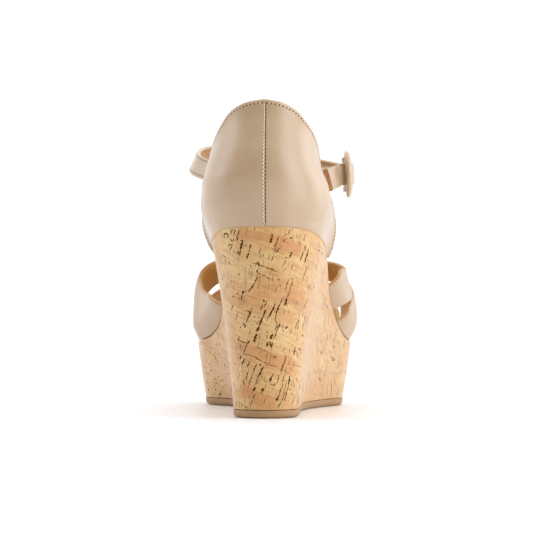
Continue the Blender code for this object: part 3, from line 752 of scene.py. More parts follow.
def end_faces(rows: int, columns: int) -> Array:
    """Faces that close the first and last loop, by pairing each point with its mirror image.

    Args:
        rows: Number of loops.
        columns: Number of points in a loop.

    Returns:
        Four point numbers for each face.
    """
    k = np.arange(columns // 2 - 1)
    ring = np.stack((k, k + 1, columns - 2 - k, columns - 1 - k), axis=-1)
    return np.concatenate((ring, ring + (rows - 1) * columns))


def copies(faces: Array, points: int, count: int) -> Array:
    """Faces of several copies of a shape that has so many points."""
    return (faces[None] + (np.arange(count) * points)[:, None, None]).reshape(-1, 4)


def along_across(u: Array, v: Array, middle: Pair, degrees: float) -> tuple[Array, Array]:
    """Distances along and across a turned direction.

    Args:
        u: First coordinates.
        v: Second coordinates.
        middle: Where the distances start.
        degrees: Turn of the direction.

    Returns:
        Distances along it and across it.
    """
    turn = math.radians(degrees)
    a, b = u - middle[0], v - middle[1]
    return a * math.cos(turn) + b * math.sin(turn), b * math.cos(turn) - a * math.sin(turn)


def unit(vectors: Array) -> Array:
    """Scale vectors to length one."""
    return vectors / np.maximum(np.linalg.norm(vectors, axis=-1, keepdims=True), 1e-9)


def grid_normals(grid: Array, towards: Array) -> Array:
    """Unit normals of a grid of points, on the side that most of some directions are on."""
    normal = unit(np.cross(np.gradient(grid, axis=1), np.gradient(grid, axis=0)))
    return normal * np.sign((normal * towards).sum())


def add_piece(
    name: str,
    points: Array,
    faces: Array,
    finishes: tuple[Finish, ...],
    node: str | None = None,
    zones: Array | None = None,
    flat: Array | None = None,
    sheet: Array | None = None,
    tone: Array | None = None,
) -> None:
    """Make a piece of the shoe from whole arrays and let it ride on the shoe.

    Args:
        name: Name of the piece.
        points: Points in millimetres in the heel frame.
        faces: Point numbers of each face.
        finishes: Its finishes, in the order of the zones.
        node: The solid that the piece stands for.
        zones: Which finish each face has.
        flat: Which faces are flat shaded.
        sheet: Place on the flat sheet for each corner of each face, in millimetres.
        tone: Charted tone of each point.
    """
    mesh = bpy.data.meshes.new(name)
    mesh.from_pydata((points.reshape(-1, 3) + SHIFT) * MM, [], faces.tolist())
    for finish in finishes:
        mesh.materials.append(finish.material())
    if zones is not None:
        mesh.polygons.foreach_set("material_index", zones.astype(np.int32))
    smooth = np.ones(len(faces), dtype=bool) if flat is None else ~flat
    mesh.polygons.foreach_set("use_smooth", smooth)
    if sheet is not None:
        layer = mesh.uv_layers.new(name="sheet")
        layer.data.foreach_set("uv", (sheet.reshape(-1) / SHEET).astype(np.float32))
    if tone is not None:
        charted = mesh.attributes.new("tone", "FLOAT", "POINT")
        charted.data.foreach_set("value", tone.astype(np.float32).ravel())
    shape = bmesh.new()
    shape.from_mesh(mesh)
    bmesh.ops.remove_doubles(shape, verts=shape.verts, dist=MERGE)
    bmesh.ops.recalc_face_normals(shape, faces=shape.faces)
    shape.to_mesh(mesh)
    shape.free()
    piece = bpy.data.objects.new(name, mesh)
    bpy.context.scene.collection.objects.link(piece)
    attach(piece, "root")
    if node:
        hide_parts(node)
    log.info("%s: %d points, %d faces", name, len(mesh.vertices), len(mesh.polygons))


@dataclass(frozen=True)
class Leaf:
    """A cut leaf of leather with a lining, given by its outer face."""

    outer: Array
    normal: Array
    wall: Array | float
    start_bulge: float = 0.6
    end_bulge: float = 0.6
    rim_points: int = 6
    turned: bool = False

    def walls(self) -> Array:
        """Thickness of each row."""
        return np.broadcast_to(np.asarray(self.wall, dtype=float), self.outer.shape[:1])

    def loops(self) -> Array:
        """Closed loops round the leaf.

        Each loop is half a rim, the outer face, a rim, the inner face and the other half rim.
        A rim is a half ellipse: middle + half wall * cos(a) + bulge * half wall * sin(a) along
        the way out of the edge.

        Returns:
            Points by row and by place in the loop.
        """
        wall = self.walls()[:, None, None]
        inner = self.outer - self.normal * wall
        angle = (np.arange(self.rim_points) + 0.5) / self.rim_points * math.pi
        rims = []
        for edge, next_in, bulge in ((0, 1, self.start_bulge), (-1, -2, self.end_bulge)):
            run = np.gradient(self.outer[:, edge], axis=0)
            out = unit(np.cross(run, self.normal[:, edge]))
            inward = self.outer[:, next_in] - self.outer[:, edge]
            out = out * np.where((out * inward).sum(axis=-1, keepdims=True) > 0.0, -1.0, 1.0)
            middle = (self.outer[:, edge] + inner[:, edge]) / 2.0
            swing = (self.outer[:, edge] - middle)[:, None, :] * np.cos(angle)[None, :, None]
            reach = out[:, None, :] * np.sin(angle)[None, :, None] * wall / 2.0 * bulge
            rims.append(middle[:, None, :] + swing + reach)
        half = self.rim_points // 2
        start, end = rims
        first, last = start[:, :half][:, ::-1], start[:, half:][:, ::-1]
        return np.concatenate((first, self.outer, end, inner[:, ::-1], last), axis=1)

    def piece(self, name: str, finishes: tuple[Finish, ...], slot: str, node: str) -> None:
        """Make the leaf.

        Args:
            name: Name of the piece.
            finishes: Face, edge and lining, and the cut ends where there are four.
            slot: The record's material slot, which is not used.
            node: The solid it stands for.
        """
        loops = self.loops()
        rows, columns = loops.shape[:2]
        half, across = self.rim_points // 2, self.outer.shape[1]
        zone = np.full(columns, Zone.EDGE.value)
        zone[half : half + across - 1] = Zone.FACE.value
        back = half + across + self.rim_points
        zone[back : back + across - 1] = Zone.LINING.value
        if self.turned:
            zone[:half] = zone[half + across - 1 : back - half + 1] = Zone.FACE.value
        ends = end_faces(rows, columns)
        faces = np.concatenate((quads(rows, columns, wrap_columns=True), ends))
        cut = len(finishes) - 1 if len(finishes) > len(Zone) else Zone.EDGE.value
        zones = np.concatenate((np.tile(zone, rows - 1), np.full(len(ends), cut)))
        flat = np.concatenate((np.zeros((rows - 1) * columns, bool), np.ones(len(ends), bool)))
        add_piece(name, loops, faces, finishes, node, zones, flat)

    def line(self, inset: float, from_end: bool, lining: bool = False) -> tuple[Array, Array]:
        """Line along a long edge, for a row of stitches.

        Args:
            inset: Distance inside the edge.
            from_end: Whether it follows the end edge and not the start edge.
            lining: Whether it lies on the inner face.

        Returns:
            Points and outward directions by row.
        """
        grid = self.outer[:, ::-1] if from_end else self.outer
        normal = self.normal[:, ::-1] if from_end else self.normal
        wall = self.walls()[:, None]
        step = np.linalg.norm(grid[:, 1] - grid[:, 0], axis=-1)
        place = np.clip(inset / np.maximum(step, 1e-6), 0.0, grid.shape[1] - 1.001)
        low = place.astype(int)
        part = (place - low)[:, None]
        rows = np.arange(len(grid))
        spot = grid[rows, low] * (1.0 - part) + grid[rows, low + 1] * part
        out = unit(normal[rows, low] * (1.0 - part) + normal[rows, low + 1] * part)
        return (spot - out * wall, -out) if lining else (spot, out)


@dataclass(frozen=True)
class Seam:
    """A row of machine stitches: threads that lie in the leather between needle pits."""

    pitch: float = 1.9
    thread: float = 0.22
    pit: float = 0.40
    share: float = 0.40
    yarn: Finish = THREAD
    sides: int = 6
    rings: int = 5
    sink: float = 0.02
    pit_shape: Spot = (1.25, 0.8, 0.10)
    reach: float = 0.3

    def bead(self) -> tuple[Array, Array]:
        """Round bead as a grid of points with closed ends.

        x = cos(a), and y and z lie on a circle of radius sin(a).

        Returns:
            Points of the unit bead, and its faces.
        """
        a = np.linspace(0.0, math.pi, self.rings)[:, None]
        b = (np.arange(self.sides) / self.sides * 2.0 * math.pi)[None, :]
        points = np.stack((np.cos(a) + 0.0 * b, np.sin(a) * np.cos(b), np.sin(a) * np.sin(b)), axis=-1)
        return points.reshape(-1, 3), quads(self.rings, self.sides, wrap_columns=True)

    def sew(self, name: str, lines: list[tuple[Array, Array]], slot: str) -> None:
        """Sew along lines.

        Args:
            name: Name of the two pieces, the threads and the pits.
            lines: Points and outward directions of each line.
            slot: The record's material slot, which is not used.
        """
        bead, faces = self.bead()
        threads, pits = [], []
        pit_long, pit_wide, pit_deep = self.pit_shape
        for spot, out in lines:
            run = lengths(spot)
            count = max(int(run[-1] / self.pitch), 1)
            ends = np.linspace(0.0, run[-1], count + 1)
            middles = (ends[:-1] + ends[1:]) / 2.0
            for at, sink, size, bag in (
                (middles, self.sink, (self.pitch * self.share, self.thread, self.thread), threads),
                (ends, 0.0, (self.pit * pit_long, self.pit * pit_wide, pit_deep), pits),
            ):
                place, up, near, far = (
                    np.stack([np.interp(spots, run, rows[:, k]) for k in range(3)], axis=-1)
                    for spots, rows in (
                        (at, spot),
                        (at, out),
                        (at + self.reach, spot),
                        (at - self.reach, spot),
                    )
                )
                up, lead = unit(up), unit(near - far)
                side = unit(np.cross(up, lead))
                axes = np.stack((lead * size[0], side * size[1], up * size[2]), axis=1)
                bag.append((place - up * sink)[:, None, :] + np.einsum("pk,nkd->npd", bead, axes))
        # The pits are flat dots whose dark colour is painted shade.
        for kind, bag, finish in (("threads", threads, self.yarn), ("pits", pits, PIT_SHADE)):
            points = np.concatenate(bag)
            add_piece(f"{name}_{kind}", points, copies(faces, len(bead), len(points)), (finish,))


@dataclass(frozen=True)
class Plank:
    """A block of the cork sheet: its middle, size and turn, and how orange or pale it is."""

    u: float
    v: float
    long: float
    wide: float
    turn: float
    tone: float
    sharp: float = 1.4

    def mask(self, u: Array, v: Array) -> Array:
        """Tone inside the turned rectangle, with an edge that is soft over less than a millimetre.

        Args:
            u: Places along the sheet.
            v: Heights.

        Returns:
            The tone there, or zero outside.
        """
        along, across = along_across(u, v, (self.u, self.v), self.turn)
        past = np.maximum(np.abs(along) - self.long / 2.0, np.abs(across) - self.wide / 2.0)
        return self.tone * np.clip(0.5 - self.sharp * past, 0.0, 1.0)


@dataclass(frozen=True)
class Chart:
    """Pores marked on one enlarged view of the photograph.

    The corner of the view is in pixels of the photograph. A pore is X and Y of its upper end,
    X and Y of its lower end and its width, in parts of a pixel from that corner.
    """

    corner: Pair
    parts: float
    pores: tuple[Stroke, ...]

    def marks(self) -> Array:
        """Ends and width of each pore, in pixels of the photograph."""
        return np.array((*self.corner, *self.corner, 0.0)) + np.array(self.pores) / self.parts


@dataclass(frozen=True)
class Sole:
    """Outsole, cork wedge and footbed."""

    stations: int = 230
    outsole_thickness: float = 4.0
    outsole_round: float = 2.0
    outsole_middle: float = 2.6
    outsole_edge: float = 0.25
    outsole_across: int = 8
    outsole_arc: int = 7
    cork_edge: float = 0.8
    cork_across: int = 4
    cork_arc: int = 6
    flank_hollow: Curve = Curve((0.0, 0.45, 0.68, 1.0), (0.8, 0.8, -0.5, -0.3))
    cork_rows: int = 130
    chart_rows: int = 90
    insole_thickness: float = 5.0
    insole_inset: float = 3.2
    insole_round: float = 1.6
    insole_across: int = 24
    insole_arc: int = 8
    insole_dish: Curve = Curve(
        (0.0, 30.0, 75.0, 120.0, 165.0, 200.0, 232.0), (0.0, 1.6, 0.7, 0.4, 1.2, 0.8, 0.0)
    )
    dish_power: float = 0.7
    gap_out: float = 5.2
    gap_at: float = 124.5
    gap_half: float = 4.6
    hidden_far: float = 1e4
    chart_decimals: tuple[int, ...] = (1, 1, 1, 0, 2)
    pore_most: float = 11.0
    pore_cut: Spot = (8.0, 4.0, 7.0)
    pore_fine: float = 0.36
    pore_steps: int = 13
    pore_share: float = 0.72
    pore_tips: float = 0.25
    pore_bend: Pair = (0.14, 0.04)
    pore_bend_turn: Pair = (11.0, 1.3)
    pore_swell: float = 0.38
    pore_swell_turn: Pair = (17.0, 2.1)
    pore_section: tuple[Pair, ...] = ((1.0, 0.0), (0.0, 0.06), (-1.0, 0.0), (0.0, -0.10))
    planks: tuple[Plank, ...] = (
        Plank(1.0, 94.6, 31.0, 5.0, -9.0, 0.9),
        Plank(13.7, 89.4, 15.0, 6.7, -12.0, 1.0),
        Plank(-16.0, 78.0, 24.6, 12.0, -14.0, -0.5),
        Plank(4.7, 67.6, 20.0, 11.0, -14.0, 0.55),
        Plank(19.6, 63.1, 12.7, 9.0, -14.0, 0.7),
        Plank(12.2, 53.8, 11.0, 6.7, -16.0, 0.5),
        Plank(-6.1, 61.3, 11.0, 6.0, -16.0, 0.45),
        Plank(1.4, 32.6, 37.5, 5.6, -21.0, 0.85),
        Plank(-9.4, 13.9, 7.5, 6.0, -20.0, 1.0),
        Plank(0.3, 9.1, 13.4, 6.7, -16.0, 0.8),
        Plank(11.4, 43.0, 10.4, 11.0, -16.0, -0.5),
        Plank(-8.7, 50.5, 13.0, 10.0, -14.0, -0.4),
        Plank(33.0, 54.0, 12.0, 18.0, -10.0, 0.4),
        Plank(-24.0, 90.0, 12.0, 9.0, -14.0, -0.3),
    )
    upper_marks: ClassVar[tuple[Stroke, ...]] = (
        (148, 55, 122, 125, 14), (185, 55, 160, 150, 14), (245, 65, 205, 170, 12), (205, 165, 222, 215, 18),
        (35, 115, 25, 180, 14), (92, 130, 75, 185, 14), (30, 115, 92, 132, 16), (118, 190, 135, 232, 14),
        (165, 195, 150, 232, 12), (100, 265, 95, 312, 12), (100, 268, 150, 280, 10),
        (150, 280, 108, 355, 10), (262, 215, 298, 235, 16), (288, 232, 255, 352, 26),
        (262, 350, 240, 432, 16), (238, 365, 215, 416, 14), (340, 275, 330, 300, 9),
        (405, 272, 392, 315, 20), (392, 312, 375, 392, 8), (376, 385, 340, 478, 18),
        (540, 335, 515, 405, 10), (456, 35, 458, 76, 8), (708, 128, 698, 170, 16), (702, 165, 678, 250, 22),
        (796, 158, 770, 232, 11), (772, 225, 734, 312, 11), (716, 328, 710, 352, 8),
        (806, 314, 768, 392, 11), (882, 190, 862, 238, 10), (912, 130, 872, 152, 8),
        (950, 180, 985, 186, 15), (984, 368, 944, 462, 17), (888, 452, 912, 458, 12),
        (1085, 232, 1086, 262, 8), (1142, 362, 1090, 516, 15), (1216, 328, 1155, 538, 19),
        (1345, 350, 1378, 372, 8), (1414, 350, 1405, 432, 10), (1375, 370, 1414, 420, 8),
        (1196, 570, 1128, 778, 9), (902, 478, 855, 577, 7), (986, 550, 974, 612, 10),
        (716, 438, 693, 502, 10), (494, 512, 522, 562, 15), (428, 528, 602, 586, 10),
        (600, 585, 792, 662, 9), (476, 640, 505, 648, 18), (488, 664, 542, 690, 9), (558, 698, 722, 776, 6),
        (502, 714, 458, 812, 11), (462, 806, 368, 948, 15), (246, 674, 234, 712, 10),
        (392, 564, 410, 570, 8), (10, 408, 46, 458, 8), (46, 455, 47, 548, 8), (108, 512, 92, 552, 14),
        (302, 920, 284, 962, 27), (286, 972, 268, 1064, 14), (346, 926, 318, 936, 7),
        (1006, 738, 944, 932, 9), (946, 928, 908, 1022, 9), (912, 1018, 880, 1138, 23),
        (942, 738, 880, 918, 8), (1226, 828, 1204, 912, 10), (1278, 868, 1292, 874, 12),
        (1206, 998, 1138, 1192, 9), (1326, 838, 1244, 1224, 7), (578, 1042, 592, 1076, 19),
        (572, 1118, 538, 1194, 13), (632, 1058, 588, 1152, 10), (612, 1186, 588, 1244, 19),
        (572, 1286, 550, 1334, 17), (734, 1098, 746, 1122, 12), (742, 1116, 664, 1284, 17),
        (842, 1028, 814, 1102, 9), (812, 1102, 754, 1238, 16), (156, 1112, 130, 1198, 13),
        (84, 1195, 74, 1240, 14), (334, 1194, 402, 1216, 10), (398, 1216, 362, 1314, 14),
        (450, 1276, 462, 1286, 12), (1086, 1228, 1080, 1322, 7), (1166, 1258, 1148, 1332, 8),
        (1450, 998, 1430, 1122, 7), (1322, 552, 1314, 608, 8), (118, 798, 134, 804, 12),
        (4, 742, 12, 762, 16), (808, 846, 824, 854, 12), (775, 772, 808, 758, 9), (205, 958, 232, 966, 12),
        (142, 994, 172, 1006, 10), (960, 745, 985, 760, 8), (1155, 290, 1160, 330, 8),
        (60, 1085, 52, 1130, 8), (860, 395, 852, 420, 7), (120, 555, 128, 572, 7),
    )
    lower_marks: ClassVar[tuple[Stroke, ...]] = (
        (142, 0, 110, 112, 10), (112, 105, 74, 258, 14), (298, 4, 318, 32, 19), (292, 38, 254, 164, 9),
        (214, 148, 228, 190, 15), (246, 178, 232, 222, 16), (512, 8, 494, 64, 15), (490, 88, 430, 204, 14),
        (438, 208, 402, 274, 28), (402, 305, 368, 394, 25), (352, 408, 390, 404, 17),
        (484, 100, 410, 150, 8), (410, 150, 392, 178, 8), (604, 16, 578, 64, 13), (682, 0, 654, 114, 9),
        (655, 118, 692, 160, 9), (692, 155, 658, 262, 9), (732, 160, 698, 234, 17), (702, 228, 640, 384, 9),
        (628, 305, 588, 384, 23), (560, 424, 546, 484, 23), (588, 408, 602, 498, 16),
        (634, 428, 598, 494, 12), (798, 232, 838, 202, 16), (538, 276, 554, 284, 14),
        (1002, 88, 944, 194, 9), (1088, 48, 1034, 254, 8), (986, 178, 974, 248, 10),
        (952, 190, 944, 234, 8), (976, 368, 970, 404, 8), (1038, 326, 1052, 336, 20),
        (1058, 420, 1052, 444, 12), (944, 498, 924, 604, 17), (990, 516, 1012, 528, 18),
        (960, 556, 976, 638, 10), (1032, 538, 1014, 604, 8), (97, 298, 34, 484, 10),
        (162, 342, 134, 398, 13), (102, 428, 90, 528, 14), (128, 388, 272, 442, 9), (380, 478, 562, 562, 6),
        (304, 402, 268, 444, 19), (272, 438, 204, 608, 11), (204, 588, 342, 612, 7),
        (340, 608, 472, 692, 9), (645, 624, 678, 638, 13), (822, 598, 788, 704, 9),
        (792, 698, 738, 834, 13), (468, 700, 722, 792, 6), (720, 790, 884, 872, 5),
        (898, 734, 1012, 772, 5), (78, 664, 64, 744, 12), (66, 776, 58, 874, 10), (157, 636, 120, 862, 15),
        (117, 848, 94, 918, 14), (184, 616, 162, 664, 21), (242, 652, 190, 734, 18),
        (162, 856, 128, 934, 8), (128, 928, 188, 992, 9), (186, 996, 134, 1198, 8),
        (308, 686, 264, 774, 14), (282, 826, 248, 954, 12), (214, 958, 228, 1028, 14),
        (402, 722, 344, 862, 12), (346, 856, 284, 1054, 10), (438, 736, 464, 748, 17),
        (498, 760, 414, 934, 17), (416, 926, 384, 1024, 9), (380, 1054, 358, 1104, 25),
        (638, 866, 600, 924, 10), (602, 914, 588, 974, 24), (718, 876, 688, 1004, 8),
        (664, 996, 640, 1032, 8), (588, 1008, 664, 1032, 8), (498, 1072, 472, 1112, 27),
        (448, 1118, 492, 1142, 8), (794, 868, 758, 994, 9), (772, 996, 694, 1222, 10),
        (702, 1206, 676, 1238, 23), (828, 956, 768, 1154, 7), (867, 890, 848, 1024, 21),
        (852, 1018, 788, 1244, 10), (817, 1078, 742, 1268, 9), (744, 1262, 698, 1330, 11),
        (958, 928, 966, 964, 8), (932, 1008, 918, 1064, 9), (862, 1078, 878, 1088, 12),
        (905, 1130, 882, 1170, 8), (1006, 1016, 1010, 1084, 12), (1052, 1008, 1044, 1134, 6),
        (938, 1156, 888, 1314, 9), (1008, 1126, 958, 1334, 8), (384, 1148, 342, 1214, 10),
        (342, 1226, 308, 1324, 9), (248, 1326, 264, 1336, 14), (126, 1238, 118, 1342, 6),
        (167, 1262, 160, 1342, 8), (197, 1272, 190, 1342, 8), (46, 1048, 44, 1122, 7),
        (905, 960, 880, 1050, 6), (370, 60, 374, 78, 10), (165, 210, 180, 216, 12), (320, 180, 330, 186, 8),
        (430, 352, 440, 360, 8), (548, 742, 556, 750, 12), (505, 968, 515, 976, 10),
        (560, 840, 570, 850, 8),
    )
    outer_marks: ClassVar[tuple[Stroke, ...]] = (
        (185, 222, 180, 258, 5), (256, 498, 250, 592, 5), (274, 578, 291, 622, 5), (246, 488, 240, 522, 4),
        (286, 838, 280, 912, 6), (302, 848, 310, 892, 5), (346, 866, 334, 922, 7), (362, 778, 350, 962, 5),
        (332, 956, 348, 968, 7), (191, 898, 180, 988, 5), (131, 818, 124, 864, 5), (436, 898, 430, 984, 4),
        (220, 998, 236, 1032, 8), (314, 1044, 326, 1072, 7), (326, 1052, 352, 1088, 7),
        (318, 1078, 344, 1088, 5), (171, 1118, 164, 1214, 4), (208, 1240, 224, 1262, 8),
        (261, 1168, 254, 1264, 4), (276, 1158, 270, 1204, 4), (321, 1288, 314, 1424, 6),
        (381, 1318, 374, 1404, 4), (36, 1296, 29, 1352, 7), (66, 1308, 59, 1374, 5), (21, 1398, 4, 1504, 7),
        (300, 640, 292, 760, 4), (262, 700, 256, 780, 4), (400, 940, 394, 1020, 3),
        (286, 1290, 280, 1400, 4), (236, 1290, 230, 1420, 3), (350, 1180, 344, 1300, 3),
        (120, 1180, 112, 1260, 4), (330, 700, 326, 760, 4), (386, 1050, 380, 1160, 3),
        (150, 1000, 144, 1060, 4), (238, 1120, 234, 1150, 5),
    )
    inner_marks: ClassVar[tuple[Stroke, ...]] = (
        (214, 462, 282, 608, 9), (264, 158, 287, 218, 8), (288, 366, 296, 412, 8), (284, 462, 300, 486, 10),
        (160, 428, 178, 474, 7), (364, 622, 380, 642, 14), (384, 660, 398, 672, 10),
        (178, 700, 196, 712, 14), (404, 750, 420, 762, 10), (228, 820, 242, 834, 12),
        (248, 874, 264, 890, 14), (336, 840, 352, 852, 12), (112, 866, 126, 880, 12),
        (218, 926, 232, 938, 12), (136, 960, 154, 984, 18), (238, 964, 254, 980, 10),
        (298, 1030, 322, 1052, 24), (408, 1036, 428, 1074, 8), (278, 786, 296, 800, 10),
        (74, 316, 88, 328, 10), (184, 386, 198, 398, 8), (294, 336, 308, 346, 9), (284, 96, 312, 154, 9),
        (110, 560, 120, 590, 7), (90, 650, 98, 664, 8), (150, 600, 168, 640, 6), (330, 930, 346, 946, 8),
        (380, 900, 396, 912, 8), (100, 740, 110, 760, 7), (250, 330, 270, 380, 6), (340, 240, 356, 280, 6),
        (390, 420, 404, 470, 6),
    )
    charts: tuple[Chart, ...] = (
        Chart((222.0, 225.0), 14.0, upper_marks),
        Chart((228.0, 312.0), 14.0, lower_marks),
        Chart((296.0, 240.0), 9.0, outer_marks),
        Chart((198.0, 320.0), 14.0, inner_marks),
    )

    def rows(self) -> Array:
        """Stations from the heel back to the toe, on one side."""
        return np.linspace(0.0, 1.0, self.stations + 1)

    def closing(self, outer: Array, inner: Array, across: int) -> tuple[Array, Array, Array]:
        """Straight lines that close two flanks above and below.

        Args:
            outer: Outer flank from the bottom up, by station.
            inner: Inner flank.
            across: Points in a line.

        Returns:
            Shares of the way across, and the lines above and below.
        """
        share = np.linspace(0.0, 1.0, across + 2)[1:-1][None, :, None]
        top = outer[:, -1:] * (1.0 - share) + inner[:, -1:] * share
        return share, top, inner[:, :1] * (1.0 - share) + outer[:, :1] * share

    def loft(
        self,
        name: str,
        sides: list[Array],
        finish: Finish,
        node: str,
        across: int,
        dish: Array | None = None,
    ) -> None:
        """Solid between an outer and an inner flank, closed above and below by straight lines.

        Args:
            name: Name of the piece.
            sides: Outer and inner flank from the bottom up, by station.
            finish: Its finish.
            node: The solid it stands for.
            across: Points across the top and the bottom.
            dish: How far the top sinks at each station.
        """
        outer, inner = sides
        share, top, foot = self.closing(outer, inner, across)
        if dish is not None:
            top[..., 2] -= dish[:, None] * (4.0 * share * (1.0 - share))[..., 0] ** self.dish_power
        loops = np.concatenate((outer, top, inner[:, ::-1], foot), axis=1)
        add_piece(name, loops, quads(*loops.shape[:2], wrap_columns=True), (finish,), node)

    def flank(self, rim: Rim, side: float, inset: Array, height: Array) -> Array:
        """Flank whose columns are an outline moved in by an inset, at heights by station.

        Args:
            rim: Which outline.
            side: 1 for the outer side, -1 for the inner.
            inset: Inset of each column.
            height: Heights by station and column.

        Returns:
            Points by station and from the bottom up.
        """
        s = self.rows() * side
        plan = LAST.plan(rim, s)[:, None, :] - LAST.away(rim, s)[:, None, :] * inset[None, :, None]
        return np.concatenate((plan, height[..., None]), axis=-1)

    def outsole(self) -> None:
        """Rubber sheet: a quarter round below, r(1 - cos a), then a straight edge."""
        a = np.linspace(0.0, math.pi / 2.0, self.outsole_arc)
        top, edge = self.outsole_thickness, self.outsole_edge
        inset = np.append(self.outsole_round * (1.0 - np.sin(a)), [0.0, 0.0, edge])
        up = np.append(self.outsole_round * (1.0 - np.cos(a)), [self.outsole_middle, top - edge, top])
        along = LAST.plan(Rim.TREAD, self.rows())[:, 1]
        height = LAST.lift(along)[:, None] + up[None, :]
        sides = [self.flank(Rim.TREAD, side, inset, height) for side in (1.0, -1.0)]
        self.loft("outsole_sheet", sides, RUBBER, "outsole", self.outsole_across)

    def footbed(self) -> None:
        """Padded insole: a straight edge, a quarter round and a top that sinks under the foot.

        On the outer side it comes out to the cork's edge in the gap between the two bands.
        """
        a = np.linspace(0.0, math.pi / 2.0, self.insole_arc)
        r = self.insole_round
        inset = np.append([self.insole_inset], self.insole_inset + r * (1.0 - np.cos(a)))
        up = np.append([0.0], self.insole_thickness - r + r * np.sin(a))
        along = LAST.plan(Rim.FEATHER, self.rows())[:, 1]
        height = LAST.seat(along)[:, None] + GAP + up[None, :]
        sides = [self.flank(Rim.FEATHER, side, inset, height) for side in (1.0, -1.0)]
        out = self.gap_out * np.exp(-(((along - self.gap_at) / self.gap_half) ** 4))
        sides[0][..., :2] += (LAST.away(Rim.FEATHER, self.rows()) * out[:, None])[:, None]
        dish = self.insole_dish(along)
        self.loft("footbed", sides, FOOTBED, "insole", self.insole_across, dish)

    def cork_flank(self, side: float, rows: int) -> Array:
        """Flank of the wedge.

        Ruled from the outsole to the feather line, hollowed by 4 q (1 - q), with a quarter
        round at the top edge.

        Args:
            side: 1 for the outer side, -1 for the inner.
            rows: Steps from the outsole to the top edge.

        Returns:
            Points by station and from the bottom up.
        """
        s = self.rows() * side
        low = LAST.plan(Rim.TREAD, s)
        high = LAST.plan(Rim.FEATHER, s)
        away = LAST.away(Rim.FEATHER, s)
        floor = LAST.lift(low[:, 1]) + self.outsole_thickness + GAP
        seat = LAST.seat(high[:, 1])
        q = np.linspace(0.0, 1.0, rows + 1)[None, :, None]
        dip = self.flank_hollow(high[:, 1] / LAST.length)[:, None, None] * 4.0 * q * (1.0 - q)
        plan = low[:, None] + (high - low)[:, None] * q - away[:, None] * dip
        height = floor[:, None] + (seat - self.cork_edge - floor)[:, None] * q[..., 0]
        a = np.linspace(0.0, math.pi / 2.0, self.cork_arc)[1:]
        turn = high[:, None] - away[:, None] * (self.cork_edge * (1.0 - np.cos(a)))[None, :, None]
        crest = (seat - self.cork_edge)[:, None] + self.cork_edge * np.sin(a)[None, :]
        points = np.concatenate((plan, turn), axis=1)
        return np.concatenate((points, np.concatenate((height, crest), axis=1)[..., None]), axis=-1)

    def wedge(self) -> None:
        """Cork wedge, with its place on the flat sheet measured along each level from the heel."""
        outer, inner = (self.cork_flank(side, self.cork_rows) for side in (1.0, -1.0))
        out_arc, in_arc = lengths(outer), -1.0 * lengths(inner)
        _, top, foot = self.closing(outer, inner, self.cork_across)
        loops = np.concatenate((outer, top, inner[:, ::-1], foot), axis=1)
        u = np.concatenate((out_arc, top[..., 0], in_arc[:, ::-1], foot[..., 0]), axis=1)
        v = loops[..., 2]
        tone = np.clip(np.sum([plank.mask(u, v) for plank in self.planks], axis=0), -1.0, 1.0)
        faces = quads(*u.shape, wrap_columns=True)
        sheet = np.stack((u.ravel(), v.ravel()), axis=-1)[faces]
        add_piece("cork_wedge", loops, faces, (CORK,), "wedge", sheet=sheet, tone=tone)

    def sheet(self, rows: int) -> tuple[Array, Array]:
        """Flanks of the wedge from the inner toe over the heel to the outer toe.

        Args:
            rows: Steps from the outsole to the top edge.

        Returns:
            Points, and their places along the flat sheet.
        """
        outer, inner = (self.cork_flank(side, rows) for side in (1.0, -1.0))
        arc = np.concatenate((-1.0 * lengths(inner)[:0:-1], lengths(outer)))
        return np.concatenate((inner[:0:-1], outer)), arc

    def charted_pores(self) -> None:
        """Long dark pores that lie in the cork where the charts put them.

        A pore is a lens of half width w sin(pi t)^0.5 with a slow wave and an uneven width, each
        pore starting its waves at another place, carried to the cork's surface.
        """
        u, v, long, lean, wide = self.on_sheet()
        k = np.arange(len(u))[:, None]
        lean = np.radians(lean)[:, None, None]
        t = np.linspace(0.0, 1.0, self.pore_steps)[None, :]
        bend, swell = (
            np.sin(t * along + k * shift) for along, shift in (self.pore_bend_turn, self.pore_swell_turn)
        )
        most, share = self.pore_bend
        wave = np.minimum(most, share * long[:, None]) * bend
        reach = ((t - 0.5) * (long + self.pore_tips)[:, None])[..., None]
        taper = np.clip(np.sin(math.pi * t), 0.0, 1.0) ** 0.5
        half = wide[:, None] * self.pore_share * taper * (1.0 + self.pore_swell * swell)
        ring = np.array(self.pore_section)
        sideways = wave[..., None] + half[..., None] * ring[:, 0]
        spot_u = u[:, None, None] + reach * np.sin(lean) + sideways * np.cos(lean)
        spot_v = v[:, None, None] + reach * np.cos(lean) - sideways * np.sin(lean)
        raise_by = taper[..., None] * ring[:, 1] + 0.0 * spot_u
        points = self.on_cork(spot_u.ravel(), spot_v.ravel(), raise_by.ravel())
        faces = copies(quads(t.size, len(ring), wrap_columns=True), t.size * len(ring), len(u))
        add_piece("cork_pores", points, faces, (PORE,))

